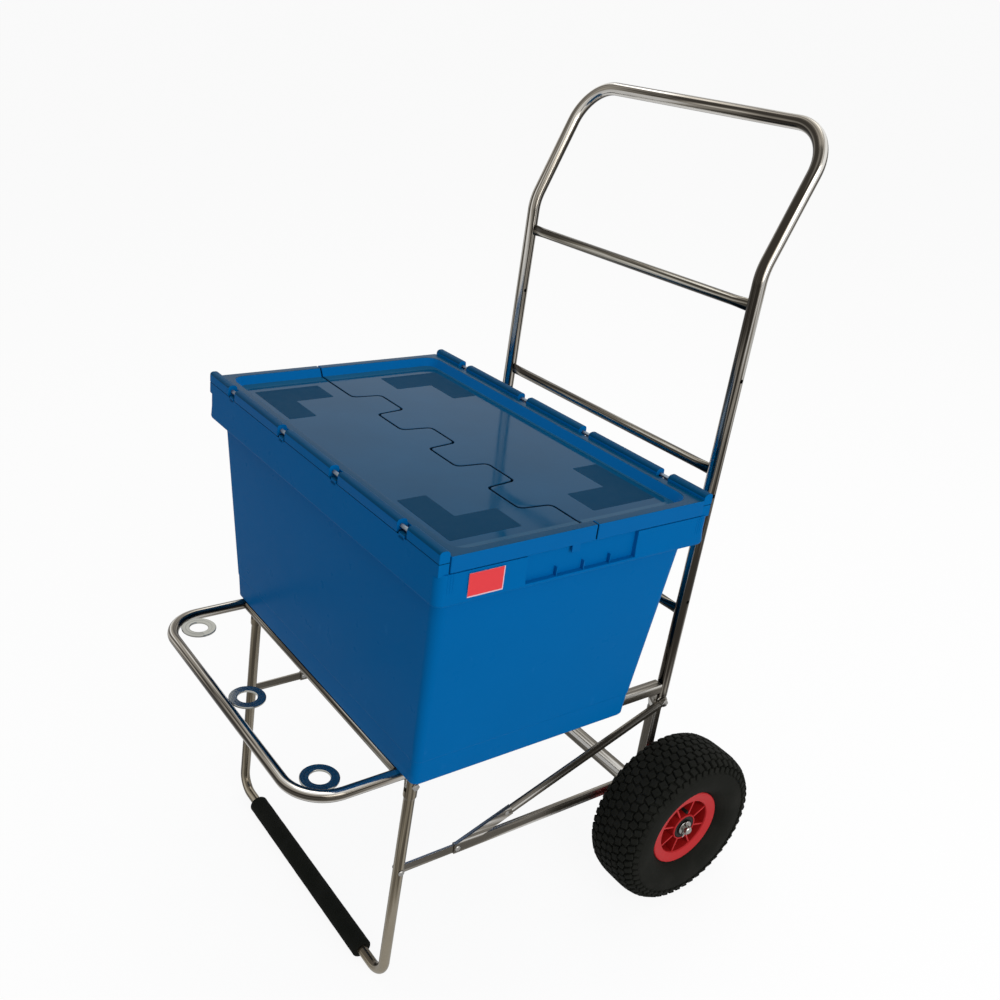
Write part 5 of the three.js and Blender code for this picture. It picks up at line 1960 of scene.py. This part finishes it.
@dataclass
class Lid:
    """One lid: a sunk panel in a raised frame, with tongues along the seam and hinge barrels."""

    half: Half
    crate: Crate
    edge: float = 185.4
    frame_width: float = 12
    lip: float = 4
    panel_drop: float = 12
    panel_thickness: float = 4
    well_radius: float = 24
    well_slope: float = 7
    well_beyond: float = 120
    seam_gap: float = 2.0
    seam_high: float = 15.5
    seam_low: float = -28.5
    seam_reach: float = 32
    flanks: tuple[Pair, ...] = ((-186, -119), (-51, 12.5), (81, 144), (213, 0))
    flank_slopes: Pair = (3, 2.5)
    flank_radii: tuple[float, float, float] = (10, 8.5, 7.5)
    stretches: tuple[Pair, ...] = ((-214, -80), (80, 214))
    web_span: Pair = (-4.6, -0.4)
    pad_corner: Pair = (249, 153)
    pad_reach: Pair = (138, 54)
    pad_width: Pair = (50, 40)
    pad_height: Pair = (-0.4, 0.22)
    border: Pair = (264, 162)
    border_height: Pair = (-0.4, 0.6)
    border_radius: float = 12
    bar_low: float = -4.9
    bar_skirt: float = -7.2
    bar_top: float = 7.7
    skirt_thickness: float = 3.1
    tab_x: Pair = (2.6, 0.1)
    tab_y: Pair = (-19, -7)
    tab_z: Pair = (-8, 3)

    @property
    def top(self) -> float:
        """The lid's top."""
        return self.crate.bottom_z + self.crate.height

    @property
    def panel_top(self) -> float:
        """The sunk panel's top."""
        return self.top - self.panel_drop

    def outline(self) -> list[Pair]:
        """The lid's outline: the interlocking seam with rounded tongues, and three straight sides.

        Returns:
            The points of the outline.
        """
        sign = self.half.value
        shift = sign * self.seam_gap / 2
        low, high = self.seam_low + shift, self.seam_high + shift
        (rising, falling), (rise_radius, *fall_radii) = self.flank_slopes, self.flank_radii
        end_x = self.crate.rim[0]
        points: list[Pair] = [(-end_x, low)]
        radii: list[float] = [0]
        for rise, fall in self.flanks:
            points += [(rise - rising - shift, low), (rise + rising - shift, high)]
            radii += [rise_radius] * 2
            if fall:
                points += [(fall - falling + shift, high), (fall + falling + shift, low)]
                radii += fall_radii
        points += [(end_x, high), (end_x, sign * self.edge), (-end_x, sign * self.edge)]
        return rounded_outline(points, [*radii, 0, 0, 0])

    def well_outline(self, inset: float) -> list[Pair]:
        """The well's outline, which runs on past the seam.

        Args:
            inset: How far inside the well's upper edge it lies.

        Returns:
            The points of the outline.
        """
        sign, margin = self.half.value, self.frame_width + inset
        x, y, radius = self.crate.rim[0] - margin, sign * (self.edge - margin), self.well_radius - inset
        beyond = -sign * self.well_beyond
        return rounded_outline([(-x, beyond), (x, beyond), (x, y), (-x, y)], [0, 0, radius, radius], 10)

    def mesh(self) -> Mesh:
        """The lid, with its panel sunk, its underside hollow and a finger tab over one grip.

        Returns:
            The mesh.
        """
        sign, rim_x = self.half.value, self.crate.rim[0]
        bottom = self.crate.rim_z + 0.9
        levels = ((self.panel_top, self.well_slope), (self.top + 0.01, 0), (self.top + 2, 0))
        well = stacked([(z, self.well_outline(inset)) for z, inset in levels])
        body = cut_away(prism(self.outline(), bottom, self.top), well)
        y0, y1 = sorted((sign * (self.edge - self.lip), -sign * self.well_beyond))
        low = (self.lip - rim_x, y0, bottom - 2)
        high = (rim_x - self.lip, y1, self.panel_top - self.panel_thickness)
        body = cut_away(body, block(low, high))
        side = -sign
        x0, x1 = sorted(side * (rim_x - inset) for inset in self.tab_x)
        (y0, y1), (z0, z1) = self.tab_y, (self.crate.rim_z + z for z in self.tab_z)
        tab = softened(block((x0, y0, z0), (x1, y1, z1)), 0.7, 2)
        return merged([softened(body, 1.1, 3, 30), *self.hinge_parts(), tab])

    def hinge_parts(self) -> list[Mesh]:
        """The webs and the bars on the hinge line.

        Returns:
            The meshes.
        """
        sign, crate = self.half.value, self.crate
        axis = (sign * crate.hinge_y, crate.hinge_z)
        out, back, low, top, skirt = crate.bar_out, crate.bar_in, self.bar_low, self.bar_top, self.bar_skirt
        inner = out - self.skirt_thickness
        corners = [(inner, skirt), (out, skirt), (out, top), (back, top), (back, low), (inner, low)]
        section = rounded_outline(corners, [0.3, 0.4, 5, 6, 1, 0.3])
        y0, y1 = sorted((sign * (self.edge - self.lip), sign * crate.hinge_y))
        z0, z1 = (crate.hinge_z + z for z in self.web_span)
        parts = []
        for start, end in self.stretches:
            parts.append(softened(block((start, y0, z0), (end, y1, z1)), 0.8, 2))
            parts.append(softened(bar_along_x(section, start, end, sign, axis), 1.2, 3, 50))
        return parts

    def border_mesh(self) -> Mesh:
        """The paler strip round the panel, a little higher than the rest.

        Returns:
            The mesh.
        """
        sign = self.half.value
        margin = self.frame_width + self.well_slope - 0.6
        out_x, out_y = self.crate.rim[0] - margin, sign * (self.edge - margin)
        in_x, in_y = self.border[0], sign * self.border[1]
        left, right = self.seam_low + sign * 2, self.seam_high + sign * 2
        corners = [(-out_x, left), (-in_x, left), (-in_x, in_y), (in_x, in_y), (in_x, right), (out_x, right)]
        corners += [(out_x, out_y), (-out_x, out_y)]
        inner, outer = self.border_radius, self.well_radius - self.well_slope
        outline = rounded_outline(corners, [0, 0, inner, inner, 0, 0, outer, outer], 8)
        return softened(prism(outline, *(self.panel_top + z for z in self.border_height)), 0.25, 1)

    def pads_mesh(self) -> Mesh:
        """The two L-shaped anti-slip pads on the panel.

        Returns:
            The mesh.
        """
        sign = self.half.value
        (x, y), (far_x, far_y), (width_x, width_y) = self.pad_corner, self.pad_reach, self.pad_width
        near_x, near_y = x - width_x, y - width_y
        shape = [(x, y), (far_x, y), (far_x, near_y), (near_x, near_y), (near_x, far_y), (x, far_y)]
        parts = []
        for side in Side:
            outline = rounded_outline([(side.value * a, sign * b) for a, b in shape], 2.0, 3)
            parts.append(prism(outline, *(self.panel_top + z for z in self.pad_height)))
        return merged(parts)

    def index_of(self, polygon: bpy.types.MeshPolygon) -> int:
        """A face's finish: 0 the side, 1 the panel, 2 the frame's top, 3 the seam, 4 a hinge bar; 2, 3 and 4
        are darker as painted shade, and 1 is partly painted shade.

        Args:
            polygon: The face.

        Returns:
            The finish's number.
        """
        x, y, z = polygon.center
        up = polygon.normal.z
        in_panel = abs(x) < self.crate.rim[0] - self.frame_width - 1 and z < self.panel_top + 0.1
        # The seam's walls and bevels take the dark painted shade of the groove.
        if in_panel and abs(up) < 0.93 and abs(y) < self.seam_reach:
            return 3
        if up > 0.75 and abs(z - self.panel_top) < 1.2:
            return 1
        on_bar = abs(y) > self.edge + 0.2
        if up > 0.75 and z > self.top - 2 and abs(y) < self.edge + 0.2:
            return 2
        return 4 if on_bar and up > 0.3 and z > self.crate.hinge_z else 0

    def build(self, shop: Workshop) -> None:
        """Makes the lid's pieces.

        Args:
            shop: The workshop that takes them.
        """
        name = f"lid_{self.half.word}"
        finishes = [Finishes.lid_side, Finishes.lid_panel, Finishes.lid_top]
        finishes += [Finishes.lid_seam_shade, Finishes.lid_bar]
        place = shop.placement.crate
        moulding = moved(painted(self.mesh(), self.index_of), place)
        shop.piece(f"{name}_moulding", moulding, finishes, name, "lid_plastic", [name], 35, True)
        shop.piece(f"{name}_pads", moved(self.pads_mesh(), place), Finishes.lid_pad, name, "lid_plastic")
        border = moved(self.border_mesh(), place)
        shop.piece(f"{name}_border", border, Finishes.lid_border, name, "lid_plastic")


# The studio


@dataclass(frozen=True)
class Studio:
    """A white floor, soft lamps and the camera at the photograph's angle."""

    focal_length: float = 39.154
    shift: Pair = (0.05434, 0.02552)
    camera_place: tuple[float, float, float] = (1.1053, -0.75934, 1.29286)
    right: tuple[float, float, float] = (0.550946, 0.834540, -0.001494)
    up: tuple[float, float, float] = (-0.412303, 0.273749, 0.868946)
    world_light: float = 0.42
    world_seen: float = 1.0
    floor_half: float = 30
    floor_tone: float = 0.7
    floor_glow: float = 1.06
    glow_share: float = 0.86
    glossy_share: float = 0.46

    def build(self) -> None:
        """Makes the floor, the lamps, the world and the camera."""
        self.build_camera()
        self.build_world()
        self.build_floor()
        self.build_lamp("key lamp", (2.6, -0.1, 1.5), (0, 0, 0.45), 1.8, 34.0)
        self.build_lamp("top lamp", (-0.5, 0.6, 2.9), (0, 0, 0.3), 2.4, 26.0)

    def build_camera(self) -> None:
        """The camera, from its place and its right and up directions."""
        data = bpy.data.cameras.new("camera")
        data.lens = self.focal_length
        data.sensor_width = 36
        data.shift_x, data.shift_y = self.shift
        right, up = Vector(self.right).normalized(), Vector(self.up).normalized()
        axes = Matrix((right, up, right.cross(up).normalized())).transposed().to_4x4()
        camera = linked("camera", data)
        camera.matrix_world = Matrix.Translation(self.camera_place) @ axes
        bpy.context.scene.camera = camera

    @staticmethod
    def cleared(tree: bpy.types.NodeTree) -> Graph:
        """A graph on an emptied tree."""
        tree.nodes.clear()
        return Graph(tree)

    @staticmethod
    def seen(graph: Graph, glossy_share: float = 1) -> Socket:
        """1 where the camera looks, or looks through glass, and a share of it in reflections.

        Args:
            graph: The graph that it is added to.
            glossy_share: The share in reflections.

        Returns:
            The number.
        """
        path = graph.add("ShaderNodeLightPath").outputs
        glossy = graph.maths("MULTIPLY", path["Is Glossy Ray"], glossy_share)
        direct = graph.maths("MAXIMUM", path["Is Camera Ray"], glossy)
        return graph.maths("MAXIMUM", direct, path["Is Transmission Ray"])

    def build_world(self) -> None:
        """A soft white world that the camera and shiny surfaces see as white."""
        world = bpy.data.worlds.new("studio")
        bpy.context.scene.world = world
        world.use_nodes = True
        graph = self.cleared(world.node_tree)
        soft, white = (
            graph.add("ShaderNodeBackground", {"Color": (1, 1, 1, 1), "Strength": strength}).outputs[0]
            for strength in (self.world_light, self.world_seen)
        )
        mix = graph.add("ShaderNodeMixShader", {0: self.seen(graph), 1: soft, 2: white})
        graph.add("ShaderNodeOutputWorld", {"Surface": mix.outputs[0]})

    def build_floor(self) -> None:
        """A pale floor that looks nearly white and still holds a soft shadow."""
        far = self.floor_half
        mesh = bpy.data.meshes.new("floor")
        mesh.from_pydata([(-far, -far, 0), (far, -far, 0), (far, far, 0), (-far, far, 0)], [], [(0, 1, 2, 3)])
        material = bpy.data.materials.new("Studio floor")
        material.use_nodes = True
        graph = self.cleared(material.node_tree)
        share = graph.maths("MULTIPLY", self.seen(graph, self.glossy_share), self.glow_share)
        matt = graph.add("ShaderNodeBsdfDiffuse", {"Color": (*[self.floor_tone] * 3, 1)})
        glow = graph.add("ShaderNodeEmission", {"Color": (1, 1, 1, 1), "Strength": self.floor_glow})
        mix = graph.add("ShaderNodeMixShader", {0: share, 1: matt.outputs[0], 2: glow.outputs[0]})
        graph.add("ShaderNodeOutputMaterial", {"Surface": mix.outputs[0]})
        mesh.materials.append(material)
        floor = linked("floor", mesh)

    @staticmethod
    def build_lamp(
        name: str, place: Sequence[float], target: Sequence[float], size: float, power: float
    ) -> None:
        """One soft square lamp.

        Args:
            name: The lamp's name.
            place: Where it stands.
            target: The point that it faces.
            size: Its side, in metres.
            power: Its power, in watts.
        """
        data = bpy.data.lights.new(name, "AREA")
        data.shape = "SQUARE"
        data.size = size
        data.energy = power
        lamp = linked(name, data)
        lamp.location = place
        lamp.rotation_euler = (Vector(target) - Vector(place)).to_track_quat("-Z", "Y").to_euler()


def main() -> None:
    """Builds the studio and the trolley, part by part."""
    logging.basicConfig(level=logging.INFO, format="%(message)s")
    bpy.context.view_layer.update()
    bpy.context.scene.view_settings.view_transform = "Standard"
    Studio().build()
    shop = Workshop(Placement.from_record(frame["record"]), RoundTree(), RowTree())
    crate = Crate()
    rolling_frame = [Handle(), Platform(), FrontLeg(), Stays(), RearCorners(), Axle()]
    wheels = [Wheel(side) for side in Side]
    for part in (*rolling_frame, *wheels, crate, *[Lid(half, crate) for half in Half]):
        part.build(shop)
    LOG.info("%d pieces", len(shop.made))


if __name__ == "__main__":
    main()
